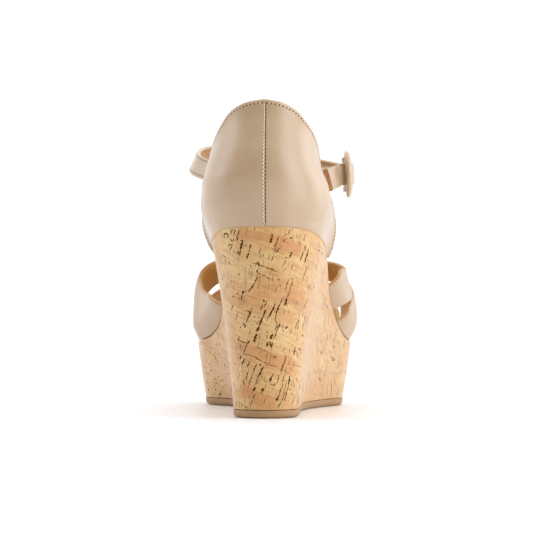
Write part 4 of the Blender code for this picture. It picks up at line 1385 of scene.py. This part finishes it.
    def on_sheet(self) -> tuple[Array, ...]:
        """Carry the marked pores to the flat sheet.

        An end of a pore goes where the camera sees its pixel on the flanks. A third coordinate
        keeps the search off their rim and off what faces away. Places are kept to a tenth of a
        millimetre, which is finer than the marks. A pore that the grazing view stretches is cut
        and made finer.

        Returns:
            Place of each pore's middle along the sheet and above the floor, its length, its lean
            to the right of upright in degrees and its width.
        """
        grid, arc = self.sheet(self.chart_rows)
        marks = np.concatenate([chart.marks() for chart in self.charts])
        pixel, size = EYE.seen(grid)
        normal = np.cross(np.gradient(grid, axis=0), np.gradient(grid, axis=1))
        hidden = (normal * (grid - EYE.place())).sum(axis=-1, keepdims=True) >= 0.0
        hidden[[0, -1]] = hidden[:, [0, -1]] = True
        ends = np.concatenate((marks[:, :2], marks[:, 2:4]))
        want = np.column_stack((ends, np.zeros(len(ends))))
        at = self.locate(np.concatenate((pixel, self.hidden_far * hidden), axis=-1), want, 1, 0.5)
        first, last = np.split(self.read(np.stack((arc, grid[..., 2]), axis=-1), at), 2)
        run = (first - last).T
        wide = marks[:, 4] * size[at[0], at[1]][: len(marks)]
        found = (*((first + last) / 2.0).T, np.hypot(*run), np.degrees(np.arctan2(*run)), wide)
        u, v, long, lean, wide = (np.round(row, n) for row, n in zip(found, self.chart_decimals))
        least, spread, pace = self.pore_cut
        stretched = long > self.pore_most
        long = np.where(stretched, least + np.mod(pace * np.abs(u), spread), long)
        wide = np.where(stretched, np.minimum(wide, self.pore_fine), wide)
        return u, v, long, lean, wide

    def on_cork(self, u: Array, v: Array, up: Array) -> Array:
        """Carry places on the flat sheet to the surface of the cork.

        Args:
            u: Places along the sheet.
            v: Heights.
            up: Heights above the surface.

        Returns:
            Points in the heel frame.
        """
        grid, arc = self.sheet(self.cork_rows)
        flat = np.stack((arc, grid[..., 2]), axis=-1)
        at = self.locate(flat, np.stack((u, v), axis=-1), 4, 1.0)
        i, j = at[:2]
        out = unit(np.cross(grid[i + 1, j] - grid[i - 1, j], grid[i, j + 1] - grid[i, j - 1]))
        return self.read(grid, at) + out * up[:, None]

    @staticmethod
    def read(values: Array, at: tuple[Array, ...]) -> Array:
        """Values of a grid at places that were found on it."""
        i, j, a, b = at
        along, across = values[i + 1, j] - values[i - 1, j], values[i, j + 1] - values[i, j - 1]
        return values[i, j] + along * a[:, None] + across * b[:, None]

    @staticmethod
    def locate(flat: Array, want: Array, every: int, most: float) -> tuple[Array, ...]:
        """Find places on a grid by flat coordinates of its points.

        The nearest grid point is found on every so many rows and columns, then among its
        neighbours. The rest of the way is a step along the two grid directions there, solved
        from the first two coordinates.

        Args:
            flat: Coordinates of the grid's points.
            want: Coordinates of the places.
            every: Rows and columns from one point of the first search to the next.
            most: Largest share of a step between a point's two neighbours.

        Returns:
            Row and column of the nearest point, and the shares of the two steps.
        """
        batches = 40

        def nearest(spots: Array, choices: Array) -> Array:
            """Number of the nearest choice to each spot."""
            far = ((spots[:, None, None] - choices) ** 2).sum(axis=-1)
            return far.reshape(len(spots), -1).argmin(axis=1)

        few = flat[::every, ::every]
        near = np.concatenate([nearest(batch, few) for batch in np.array_split(want, batches)])
        row, column = (every * index for index in np.unravel_index(near, few.shape[:2]))
        step = np.arange(1 - every, every)
        rows = np.clip(row[:, None, None] + step[None, :, None], 1, flat.shape[0] - 2) + 0 * step
        columns = np.clip(column[:, None, None] + step, 1, flat.shape[1] - 2) + 0 * step[:, None]
        best = nearest(want, flat[rows, columns])[:, None]
        i, j = (
            np.take_along_axis(index.reshape(len(want), -1), best, axis=1)[:, 0]
            for index in (rows, columns)
        )
        eu, ev = (flat[i + 1, j] - flat[i - 1, j]).T[:2]
        fu, fv = (flat[i, j + 1] - flat[i, j - 1]).T[:2]
        du, dv = (want - flat[i, j]).T[:2]
        scale = eu * fv - fu * ev
        a = np.clip((du * fv - fu * dv) / scale, -most, most)
        b = np.clip((eu * dv - du * ev) / scale, -most, most)
        return i, j, a, b

    def build(self) -> None:
        """Make the sole from the floor up."""
        self.outsole()
        self.wedge()
        self.charted_pores()
        self.footbed()


@dataclass(frozen=True)
class Crease:
    """A soft trough in leather: its middle, half length, half width, depth and turn."""

    u: float
    v: float
    long: float
    wide: float
    depth: float
    turn: float

    def dip(self, u: Array, v: Array) -> Array:
        """Depth of the trough: a bell across it and a wider bell along it.

        Args:
            u: First coordinates on the leather.
            v: Second coordinates.

        Returns:
            Depths there.
        """
        along, across = along_across(u, v, (self.u, self.v), self.turn)
        a, b = along / self.long, across / self.wide
        return self.depth * np.exp(-a * a - b * b)


@dataclass(frozen=True)
class Counter:
    """Closed heel cup with a lapped seam up the back.

    The skirt is how far the cup comes down over the cork, by arc from the seam. A crease is
    placed by arc and height.
    """

    wall: float = 2.2
    rows: int = 46
    lap: float = 0.38
    groove: float = 0.42
    seam_offset: float = 0.35
    stitch_inset: float = 1.5
    flare: float = 0.8
    flare_reach: float = 4.6
    lap_soft: float = 0.09
    lap_reach: float = 7.0
    groove_at: float = 0.25
    groove_half: float = 0.28
    stand: float = 1.15
    stand_at: float = 2.2
    stand_soft: float = 0.7
    flank_fall: float = 0.13
    face_feel: float = 0.5
    skin_feel: float = 0.6
    top_samples: int = 801
    turns: int = 181
    seam_turns: int = 65
    seam_half: float = 4.0
    middle_along: float = 60.0
    foot_lift: float = 0.2
    rim_drop: float = 0.45
    least_wall: float = 1.0
    seam_ends: Pair = (2.0, 2.2)
    seam_rows: int = 120
    stitch_gap: float = 1.6
    ridge_from_lap: float = -0.55
    top_seam: Seam = Seam(2.12, 0.26, 0.52)
    # Pale thread on the ridge: real thread, with a painted highlight of the lap's edge in its colour.
    ridge_seam: Seam = Seam(1.95, 0.36, 0.24, 0.46, RIDGE_THREAD_AND_HIGHLIGHT)
    # The shadow line beside the ridge, where the lap's edge is stitched down: a row of dark beads that is
    # painted shadow.
    lap_shadow_seam: Seam = Seam(1.95, 0.55, 0.26, 0.31, PIT_SHADE)
    skirt: Curve = Curve(
        (
            *(-69.0, -62.0, -54.0, -46.0, -38.5, -33.5, -25.5, -17.0),
            *(0.0, 14.0, 24.0, 32.5, 44.5, 56.0, 66.0, 76.0),
        ),
        (0.0, 0.9, 3.0, 4.5, 3.9, 2.1, 0.7, 0.1, 0.0, 0.2, 0.8, 2.2, 4.6, 4.2, 1.8, 0.0),
    )
    creases: tuple[Crease, ...] = (
        Crease(-44.0, 112.0, 16.0, 5.0, 0.35, 78.0),
        Crease(46.0, 110.0, 15.0, 5.0, 0.35, 100.0),
        Crease(-20.0, 106.0, 9.0, 3.0, 0.22, 84.0),
        Crease(17.0, 106.0, 9.0, 3.0, 0.20, 96.0),
        Crease(0.0, 158.0, 16.0, 5.0, 0.25, 0.0),
        Crease(-46.0, 120.0, 15.0, 9.0, 0.8, 0.0),
    )

    @staticmethod
    def drop(x: Array) -> Array:
        """Soft step from one down to zero: 1 / (1 + e^x)."""
        return 1.0 / (1.0 + np.exp(np.clip(x, -40.0, 40.0)))

    @staticmethod
    def outward(face: Callable[[Array, Array], Array], arc: Array, height: Array, feel: float) -> Array:
        """Outward directions of a face, from points felt on both sides of each place.

        Args:
            face: Gives the points of the face.
            arc: Arcs from the seam.
            height: Heights above the floor.
            feel: Distance to the felt points.

        Returns:
            Unit vectors.
        """
        ahead = face(arc + feel, height) - face(arc - feel, height)
        above = face(arc, height + feel) - face(arc, height - feel)
        return unit(np.cross(ahead, above))

    def skin(self, arc: Array, height: Array) -> Array:
        """Outer face with its lap and creases.

        The inner panel laps over the other at the seam: a step that dies out over some
        millimetres, with a narrow groove beside it. The wall flares out a little towards its
        top line, as a bell of the distance to that line. Where it is drawn down over the
        cork's shoulders it stands out by a soft step and then follows the flank.

        Args:
            arc: Arc from the seam.
            height: Height above the floor.

        Returns:
            Points of the outer face.
        """
        base = LAST.counter(arc, height)
        out = self.outward(LAST.counter, arc, height, self.face_feel)
        from_seam = arc - self.seam_offset
        step = self.lap * self.drop(from_seam / self.lap_soft) * np.exp(-np.abs(arc) / self.lap_reach)
        trough = self.groove * np.exp(-(((from_seam - self.groove_at) / self.groove_half) ** 2))
        dips = np.sum([crease.dip(arc, height) for crease in self.creases], axis=0)
        arcs, tops = LAST.counter_top(np.linspace(-1.0, 1.0, self.top_samples))
        slope = np.interp(arc, arcs, np.gradient(tops, arcs))
        below = (np.interp(arc, arcs, tops) - height) / np.sqrt(1.0 + slope**2)
        steep = 1.0 - 1.0 / np.sqrt(1.0 + slope**2)
        bell = self.flare * (1.0 + steep) * np.exp(-((np.maximum(below, 0.0) / self.flare_reach) ** 2))
        above_seat = height - LAST.seat(base[..., 1])
        stand = self.stand * self.drop((above_seat - self.stand_at) / self.stand_soft)
        over = stand - self.flank_fall * np.maximum(-above_seat, 0.0)
        drawn = np.clip(self.skirt(arc), 0.0, 1.0) * over
        return base + out * (step + bell + drawn - trough - dips)[..., None]

    def build(self) -> None:
        """Make the cup and its stitches."""
        even = np.sin(np.linspace(-math.pi / 2.0, math.pi / 2.0, self.turns))
        close = np.linspace(-self.seam_half, self.seam_half, self.seam_turns) / LAST.edge_arc
        turn = np.unique(np.round(np.concatenate((even, close)), 6))
        arc, top = LAST.counter_top(turn)
        y = LAST.counter(arc, top)[:, 1]
        foot = LAST.seat(y) + GAP + self.foot_lift - self.skirt(arc)
        top = np.maximum(top - self.rim_drop, foot + self.least_wall)
        share = np.linspace(0.0, 1.0, self.rows + 1)[None, :]
        height = foot[:, None] + (top - foot)[:, None] * share
        grid = self.skin(np.broadcast_to(arc[:, None], height.shape), height)
        middle = np.array([0.0, self.middle_along, 0.0])
        normal = grid_normals(grid, (grid - middle) * np.array([1.0, 1.0, 0.0]))
        cup = Leaf(grid, normal, self.wall, start_bulge=0.2, end_bulge=0.65)
        cup.piece("counter_leather", (CALF, CREAM_EDGE, LINING), "upper_leather", "heel_counter")
        run = np.stack((np.gradient(arc), np.gradient(top)), axis=-1)
        inside = unit(np.stack((run[:, 1], -run[:, 0]), axis=-1)) * self.stitch_inset
        line_arc, line_top = arc + inside[:, 0], top + inside[:, 1]
        low_end, high_end = self.seam_ends
        sewn = (line_top > foot + low_end) & (np.abs(line_arc) > self.stitch_gap)
        sides = (sewn & (line_arc < 0.0), sewn & (line_arc > 0.0))
        lines = [self.on_skin(line_arc[side], line_top[side]) for side in sides]
        self.top_seam.sew("counter_stitch", lines, "upper_leather")
        seat = float(LAST.seat(np.array(0.0)))
        height = np.linspace(seat + low_end, LAST.peak - high_end, self.seam_rows)
        # The ridge's pale thread carries a painted highlight, and the lap's dark beads a painted shadow
        # line.
        for name, seam, beside in (
            ("counter_ridge", self.ridge_seam, self.ridge_from_lap),
            ("counter_lap_shadow", self.lap_shadow_seam, self.groove_at),
        ):
            line = self.on_skin(np.full(self.seam_rows, self.seam_offset + beside), height)
            seam.sew(name, [line], "upper_leather")

    def on_skin(self, arc: Array, height: Array) -> tuple[Array, Array]:
        """Line on the outer face.

        Args:
            arc: Arcs from the seam.
            height: Heights above the floor.

        Returns:
            Points and outward directions.
        """
        return self.skin(arc, height), self.outward(self.skin, arc, height, self.skin_feel)


@dataclass(frozen=True)
class Band:
    """One band of the vamp: its edges and lift by share of the girth, and its creases."""

    name: str
    back: Curve
    front: Curve
    lift: Curve
    creases: tuple[Crease, ...]


@dataclass(frozen=True)
class Vamp:
    """Two bands that cross over the forefoot."""

    wall: float = 1.9
    edge: float = 0.55
    rows: int = 180
    columns: int = 22
    stitch_inset: float = 1.7
    seam: Seam = Seam(2.1, 0.22, 0.30)
    unsewn_rows: int = 4
    calm_ends: float = 0.06
    middle_height: float = 30.0
    slant_at: ClassVar[tuple[float, ...]] = (
        *(0.0, 0.045, 0.092, 0.118, 0.17, 0.22, 0.27, 0.33),
        *(0.45, 0.55, 0.65, 0.74, 0.8, 0.9, 1.0),
    )
    slant: Band = Band(
        "slant_band",
        Curve(
            slant_at,
            (
                *(94.5, 95.5, 101.5, 107.0, 121.0, 133.5, 142.5, 150.0),
                *(160.5, 170.5, 183.0, 193.5, 197.5, 201.0, 202.0),
            ),
        ),
        Curve(
            slant_at,
            (
                *(115.5, 120.3, 131.0, 139.5, 152.5, 160.5, 166.5, 175.0),
                *(187.0, 194.5, 202.0, 208.5, 212.0, 214.5, 215.0),
            ),
        ),
        Curve((0.0, 1.0), (0.0, 0.0)),
        (
            Crease(108.0, 0.060, 9.0, 0.030, 0.30, 0.0),
            Crease(204.0, 0.820, 6.0, 0.040, 0.25, 0.0),
        ),
    )
    cross_at: ClassVar[tuple[float, ...]] = (
        *(0.0, 0.04, 0.07, 0.115, 0.155, 0.2, 0.27, 0.4),
        *(0.5, 0.6, 0.72, 0.78, 0.815, 0.858, 0.93, 1.0),
    )
    cross: Band = Band(
        "cross_band",
        Curve(
            cross_at,
            (
                *(128.0, 130.4, 132.0, 139.5, 149.0, 153.0, 154.0, 154.0),
                *(153.0, 152.0, 151.2, 149.5, 145.5, 135.5, 118.0, 111.5),
            ),
        ),
        Curve(
            cross_at,
            (
                *(189.0, 192.5, 195.0, 197.5, 195.0, 183.0, 168.5, 169.0),
                *(170.5, 171.0, 180.0, 186.0, 188.5, 189.5, 189.5, 188.5),
            ),
        ),
        Curve((0.0, 0.1, 0.15, 0.2, 0.3, 0.56, 0.72, 1.0), (0.0, 0.0, 0.3, 0.6, 1.1, 1.1, 0.0, 0.0)),
        (
            Crease(154.0, 0.755, 12.0, 0.045, -1.2, 0.0),
            Crease(170.0, 0.865, 16.0, 0.035, 0.4, 0.0),
            Crease(160.0, 0.090, 14.0, 0.055, -1.2, 0.0),
            Crease(161.0, 0.450, 12.0, 0.050, 0.25, 0.0),
        ),
    )

    def leaf(self, band: Band) -> Leaf:
        """Lay a band on the last.

        The grid runs over the girth and, at each share of it, from the back edge to the front
        edge. It is lifted along its normal and sunk at its creases.

        Args:
            band: The band.

        Returns:
            Its leaf.
        """
        girth = np.linspace(0.0, 1.0, self.rows + 1)
        back, front = band.back(girth) + self.edge, band.front(girth) - self.edge
        share = np.linspace(0.0, 1.0, self.columns + 1)[None, :]
        along = back[:, None] + (front - back)[:, None] * share
        wide = np.broadcast_to(girth[:, None], along.shape)
        grid = LAST.dome(wide, along)
        towards = (grid - np.array([0.0, 0.0, self.middle_height])) * np.array([1.0, 0.0, 1.0])
        ends = np.clip(np.minimum(girth, 1.0 - girth) / self.calm_ends, 0.0, 1.0)[:, None]
        dips = np.sum([crease.dip(along, wide) for crease in band.creases], axis=0) * ends
        grid = grid + grid_normals(grid, towards) * (band.lift(girth)[:, None] - dips)[..., None]
        return Leaf(grid, grid_normals(grid, towards), self.wall)

    def build(self) -> None:
        """Make both bands and their stitches."""
        lines = []
        for band in (self.slant, self.cross):
            leaf = self.leaf(band)
            leaf.piece(band.name, (BAND_CALF, EDGE_PAINT, LINING), "upper_leather", "vamp_straps")
            for from_end in (False, True):
                spot, out = leaf.line(self.stitch_inset, from_end)
                sewn = slice(self.unsewn_rows, -self.unsewn_rows)
                lines.append((spot[sewn], out[sewn]))
        self.seam.sew("vamp_stitch", lines, "upper_leather")


@dataclass(frozen=True)
class Buckle:
    """Leather-covered ring with a nickel bar and prong."""

    centre: Spot = (40.9, 86.0, 130.3)
    lean: float = 3.0
    yaw: float = 0.0
    outer: Pair = (12.2, 12.9)
    inner: Pair = (7.0, 7.4)
    outer_power: float = 2.5
    inner_power: float = 4.5
    half_thickness: float = 1.65
    bow: float = 0.9
    bar_radius: float = 0.9
    prong_radius: float = 0.75
    ring_steps: int = 120
    ring_sides: int = 24
    wire_steps: int = 60
    wire_sides: int = 16
    bar: tuple[Spot, ...] = (
        (-1.9, 0.0, -9.8),
        (-2.2, 0.0, -8.2),
        (-1.8, 0.0, -6.6),
        (-0.7, 0.0, -5.0),
        (-0.3, 0.0, 0.0),
        (-0.7, 0.0, 5.0),
        (-1.8, 0.0, 6.6),
        (-2.2, 0.0, 8.2),
        (-1.9, 0.0, 9.8),
    )
    prong: tuple[Spot, ...] = (
        (-0.6, 2.0, 0.0),
        (1.1, 3.6, 0.0),
        (3.0, 5.8, 0.0),
        (3.3, 8.2, 0.0),
        (3.1, 10.8, 0.0),
    )

    def axes(self) -> Array:
        """Outward, forward and upward directions of the ring.

        Returns:
            Three unit vectors.
        """
        lean, yaw = math.radians(self.lean), math.radians(self.yaw)
        forward = np.array([math.sin(yaw), math.cos(yaw), 0.0])
        side = np.array([math.cos(yaw), -math.sin(yaw), 0.0])
        level = np.array([0.0, 0.0, 1.0])
        out = side * math.cos(lean) + level * math.sin(lean)
        return np.stack((out, forward, level * math.cos(lean) - side * math.sin(lean)))

    def at(self, spots: Array) -> Array:
        """Places given outward, forward and upward from the ring centre, in the heel frame."""
        return np.array(self.centre) + np.asarray(spots, dtype=float) @ self.axes()

    def oval(self, reach: Pair, power: float, angle: Array) -> Array:
        """Superellipse in the plane of the ring.

        Args:
            reach: Half sizes forward and upward.
            power: Power of the superellipse.
            angle: Angles round it.

        Returns:
            Forward and upward places.
        """
        side, level = np.cos(angle), np.sin(angle)
        along = reach[0] * np.sign(side) * np.abs(side) ** (2.0 / power)
        up = reach[1] * np.sign(level) * np.abs(level) ** (2.0 / power)
        return np.stack((along, up), axis=-1)

    def ring(self) -> None:
        """Ring whose section is an ellipse between two ovals, bowed outward at mid height."""
        steps, sides = self.ring_steps, self.ring_sides
        angle = np.arange(steps) * 2.0 * math.pi / steps
        turn = np.arange(sides) * 2.0 * math.pi / sides
        far = self.oval(self.outer, self.outer_power, angle)
        near = self.oval(self.inner, self.inner_power, angle)
        plane = (far + near)[:, None] / 2.0 + (far - near)[:, None] / 2.0 * np.cos(turn)[None, :, None]
        thick = self.half_thickness * np.sin(turn)[None, :, None]
        thick = thick + self.bow * (1.0 - (plane[..., 1:] / self.outer[1]) ** 2)
        points = self.at(np.concatenate((thick, plane), axis=-1))
        faces = quads(steps, sides, wrap_rows=True, wrap_columns=True)
        add_piece("ring_leather", points, faces, (CALF,), "buckle_ring")

    def rod(self, name: str, spots: Array, radius: float, node: str) -> None:
        """Round wire along a smooth path, with domed ends.

        Args:
            name: Name of the piece.
            spots: Path from the ring centre.
            radius: Radius of the wire.
            node: The solid it stands for.
        """
        steps, sides = self.wire_steps, self.wire_sides
        path = through(self.at(spots), steps)
        run = unit(np.gradient(path, axis=0))
        helper = unit(np.cross(self.axes()[0], path[-1] - path[0]))
        first = unit(np.cross(run, helper))
        second = np.cross(run, first)
        count = np.arange(steps + 1)
        dist = np.minimum(count, count[::-1]) * np.linalg.norm(path[1] - path[0])
        dome = np.sqrt(np.clip(1.0 - np.clip(1.0 - dist / radius, 0.0, 1.0) ** 2, 0.0, 1.0)) * radius
        turn = (np.arange(sides) * 2.0 * math.pi / sides)[None, :, None]
        ring = first[:, None] * np.cos(turn) + second[:, None] * np.sin(turn)
        points = path[:, None] + ring * dome[:, None, None]
        faces = quads(steps + 1, sides, wrap_columns=True)
        add_piece(name, points, faces, (NICKEL,), node)

    def build(self) -> None:
        """Make the ring, the bar and the prong."""
        self.ring()
        self.rod("bar_wire", self.bar, self.bar_radius, "buckle_bar")
        self.rod("prong_wire", self.prong, self.prong_radius, "buckle_prong")


def through(points: Array, count: int) -> Array:
    """Smooth path through points: a cubic between each two, with slopes from their neighbours.

    Args:
        points: Points, with any further columns to carry along.
        count: Number of even steps.

    Returns:
        Rows along the path.
    """
    knot = lengths(points[:, :3])
    step = np.linalg.norm(np.diff(points[:, :3], axis=0), axis=1)
    slope = np.gradient(points, knot, axis=0)
    at = np.linspace(0.0, knot[-1], count + 1)
    i = np.clip(np.searchsorted(knot, at, side="right") - 1, 0, len(knot) - 2)
    span, t = step[i][:, None], ((at - knot[i]) / step[i])[:, None]
    left = points[i] * (1.0 + 2.0 * t) + slope[i] * span * t
    right = points[i + 1] * (3.0 - 2.0 * t) - slope[i + 1] * span * (1.0 - t)
    return left * (1.0 - t) ** 2 + right * t * t


@dataclass(frozen=True)
class AnkleStrap:
    """Strap from the inner side of the counter through the buckle, and the tab behind it.

    An anchor is arc and height on the counter, a route or tail is X, Y, Z and lean in degrees,
    and a weave is outward, forward and upward from the ring's centre.
    """

    buckle: Buckle
    width: float = 12.0
    wall: float = 2.0
    tab_width: float = 10.0
    counter_wall: float = 2.2
    stitch_inset: float = 1.2
    seam: Seam = Seam(2.0, 0.22, 0.50)
    first_sewn: int = 10
    last_sewn: int = 262
    strap_steps: int = 320
    tab_steps: int = 70
    across: int = 13
    crown: float = 0.25
    edge: float = 0.5
    sink: float = 0.2
    tail_wall: float = 0.9
    tail_reach: float = 9.0
    feel: float = 0.5
    anchor: tuple[Pair, ...] = ((-56.0, 126.0), (-65.0, 127.0), (-73.0, 128.2))
    route: tuple[Row, ...] = (
        (-43.8, 86.0, 136.4, 24.0),
        (-44.6, 104.0, 140.0, 24.0),
        (-38.4, 123.0, 142.4, 19.0),
        (-22.0, 136.5, 143.0, 13.0),
        (-2.0, 141.0, 141.6, 10.0),
        (18.0, 137.0, 136.4, 8.0),
        (34.0, 125.5, 132.8, 7.0),
        (40.3, 111.0, 131.2, 6.0),
    )
    weave: tuple[Spot, ...] = (
        (-2.0, 13.0, 0.4),
        (-1.8, 8.6, 0.2),
        (1.0, 4.0, 0.0),
        (3.7, 0.0, 0.0),
        (2.6, -4.0, 0.0),
        (0.2, -6.4, 0.0),
        (-2.5, -7.9, -0.1),
    )
    tail: tuple[Row, ...] = (
        (37.3, 75.2, 129.3, 7.0),
        (34.9, 68.3, 127.9, 11.0),
        (32.4, 61.5, 126.6, 16.0),
    )
    tab_anchor: tuple[Pair, ...] = ((52.0, 126.8), (60.0, 127.4), (68.0, 128.0))
    tab_route: tuple[Row, ...] = (
        (26.7, 64.5, 128.2, 9.0),
        (30.8, 72.0, 129.0, 8.0),
    )
    tab_weave: tuple[Spot, ...] = (
        (-5.2, -7.0, -0.3),
        (-3.2, -2.0, 0.0),
        (-3.0, 2.5, 0.0),
    )

    def anchored(self, rows: tuple[Pair, ...], width: float) -> Array:
        """Rows of a route that lies flat against the inside of the counter.

        Args:
            rows: Arc and height of each row.
            width: Width of the strap.

        Returns:
            X, Y, Z and lean of each row.
        """
        arc, middle = np.array(rows).T
        low = LAST.counter(arc, middle - width / 2.0)
        high = LAST.counter(arc, middle + width / 2.0)
        run = LAST.counter(arc + self.feel, middle) - LAST.counter(arc - self.feel, middle)
        out = unit(np.stack((run[:, 1], -run[:, 0]), axis=-1))
        spot = (low + high) / 2.0
        spot[:, :2] -= out * (self.counter_wall + 2.0 * GAP)
        lean = np.degrees(np.arctan2(((low - high)[:, :2] * out).sum(axis=1), width))
        return np.column_stack((spot, lean))

    def woven(self, rows: tuple[Spot, ...]) -> Array:
        """Rows of a route given from the ring centre."""
        return np.column_stack((self.buckle.at(rows), np.full(len(rows), self.buckle.lean)))

    def ribbon(self, path: Array, width: float, wall: Array | float) -> Leaf:
        """Strap that stands on edge along a path.

        Its upright leans inward at the top, and its outer face is crowned by c (1 - w^2).

        Args:
            path: X, Y, Z and lean by row.
            width: Width of the strap.
            wall: Its thickness.

        Returns:
            Its leaf.
        """
        spot, lean = path[:, :3], np.radians(path[:, 3])[:, None]
        run = np.gradient(spot, axis=0)
        side = unit(np.column_stack((-run[:, 1], run[:, 0], np.zeros(len(run)))))
        level = np.array([[0.0, 0.0, 1.0]])
        upright = level * np.cos(lean) - side * np.sin(lean)
        out = side * np.cos(lean) + level * np.sin(lean)
        share = np.linspace(-1.0, 1.0, self.across)[None, :, None]
        crown = self.crown * (1.0 - share**2) - self.sink
        reach = upright[:, None] * share * (width / 2.0 - self.edge)
        grid = spot[:, None] + reach + out[:, None] * crown
        normal = grid_normals(grid, out[:, None] + 0.0 * grid)
        return Leaf(grid, normal, wall, start_bulge=0.5, end_bulge=0.5, turned=True)

    def build(self) -> None:
        """Make the strap, the tab and their stitches."""
        anchor = self.anchored(self.anchor, self.width)
        route = np.vstack((anchor, self.route, self.woven(self.weave), self.tail))
        path = through(route, self.strap_steps)
        left = np.linspace(1.0, 0.0, self.strap_steps + 1) * lengths(path[:, :3])[-1]
        wall = self.wall + self.tail_wall * np.clip(1.0 - left / self.tail_reach, 0.0, 1.0)
        finishes = (CALF, CREAM_EDGE, STRAP_LINING)
        strap = self.ribbon(path, self.width, wall)
        # The strap's cut end takes the raw-edge colour, lightened as painted light for the shade it sits
        # in.
        strap.piece("strap_leather", (*finishes, RAW_EDGE_PAINTED_LIGHT), "upper_leather", "ankle_strap")
        tab_anchor = self.anchored(self.tab_anchor, self.tab_width)
        tab_route = np.vstack((tab_anchor, self.tab_route, self.woven(self.tab_weave)))
        tab = self.ribbon(through(tab_route, self.tab_steps)[::-1], self.tab_width, self.wall)
        tab.piece("tab_leather", finishes, "upper_leather", "buckle_tab")
        sewn = slice(self.first_sewn, self.last_sewn)
        lines = []
        for from_end in (False, True):
            for lining in (False, True):
                spot, out = strap.line(self.stitch_inset, from_end, lining)
                lines.append((spot[sewn], out[sewn]))
        self.seam.sew("strap_stitch", lines, "upper_leather")


@dataclass(frozen=True)
class SoftBox:
    """A soft box: its name, its place and size in metres, its watts and its tint."""

    name: str
    place: Spot
    size: Pair
    power: float
    tint: str


@dataclass(frozen=True)
class Studio:
    """Pale floor, soft lights and the camera behind the heel.

    A glow of the surround is where it starts and is full along an axis, and its two strengths.
    """

    sensor: float = 36.0
    floor_half: float = 4.0
    floor_drop: float = 2e-4
    aim: Spot = (0.0, -0.05, 0.08)
    far_glow: Row = (-0.4, 0.6, 0.12, 1.12)
    top_glow: Row = (0.60, 0.78, 0.12, 1.60)
    boxes: tuple[SoftBox, ...] = (
        SoftBox("key_box", (1.12, -0.60, 0.50), (0.85, 1.1), 7.6, "#F8FAFF"),
        SoftBox("rim_box", (1.20, 0.50, 0.46), (0.7, 1.0), 3.0, "#F8FAFF"),
        SoftBox("fill_box", (-1.18, 0.04, 0.80), (0.6, 1.35), 3.7, "#EEF0FF"),
    )

    def camera(self) -> None:
        """Camera level with the middle of the wedge, three degrees to the outer side."""
        target = (np.array(EYE.target) + SHIFT) * MM
        place = target + EYE.back() * EYE.distance * MM
        lens = bpy.data.cameras.new("camera")
        lens.sensor_width = self.sensor
        lens.lens = self.sensor * EYE.distance / EYE.frame_mm
        lens.clip_start = 0.01
        eye = bpy.data.objects.new("camera", lens)
        eye.location = place
        eye.rotation_euler = Vector(target - place).to_track_quat("-Z", "Y").to_euler()
        bpy.context.scene.collection.objects.link(eye)
        bpy.context.scene.camera = eye

    def floor(self) -> None:
        """Wide matt floor just under the tread."""
        corners = ((-1, -1), (1, -1), (1, 1), (-1, 1))
        points = [(x * self.floor_half, y * self.floor_half, -self.floor_drop) for x, y in corners]
        mesh = bpy.data.meshes.new("floor")
        mesh.from_pydata(points, [], [(0, 1, 2, 3)])
        mesh.materials.append(PAPER.material())
        floor = bpy.data.objects.new("floor", mesh)
        bpy.context.scene.collection.objects.link(floor)

    def light(self, box: SoftBox) -> None:
        """Add a soft box aimed at the shoe.

        Args:
            box: The soft box.
        """
        panel = bpy.data.lights.new(box.name, "AREA")
        panel.shape = "RECTANGLE"
        panel.size, panel.size_y = box.size
        panel.energy = box.power
        panel.color = linear(box.tint)[:3]
        lamp = bpy.data.objects.new(box.name, panel)
        lamp.location = box.place
        way = Vector(self.aim) - Vector(box.place)
        lamp.rotation_euler = way.to_track_quat("-Z", "Y").to_euler()
        bpy.context.scene.collection.objects.link(lamp)

    def world(self) -> None:
        """Even white surround that is dimmer on the camera's side."""
        world = bpy.data.worlds.new("surround")
        world.use_nodes = True
        tree = world.node_tree
        way = add(tree, "SeparateXYZ", (add(tree, "TexCoord")["Generated"],))
        far = add(tree, "MapRange", (way["Y"], *self.far_glow))["Result"]
        top = add(tree, "MapRange", (way["Z"], *self.top_glow))["Result"]
        level = add(tree, "Math", (far, top), operation="MAXIMUM")[0]
        tree.nodes["Background"].inputs["Color"].default_value = (1.0, 1.0, 1.0, 1.0)
        tree.links.new(level, tree.nodes["Background"].inputs["Strength"])
        bpy.context.scene.world = world

    def build(self) -> None:
        """Set the scene."""
        self.camera()
        self.floor()
        self.world()
        for box in self.boxes:
            self.light(box)
        bpy.context.scene.view_settings.view_transform = "Standard"


def main() -> None:
    """Build the sandal and its studio."""
    logging.basicConfig(level=logging.INFO, format="%(name)s %(message)s")
    Studio().build()
    buckle = Buckle()
    Sole().build()
    Counter().build()
    Vamp().build()
    AnkleStrap(buckle).build()
    buckle.build()


if __name__ == "__main__":
    main()
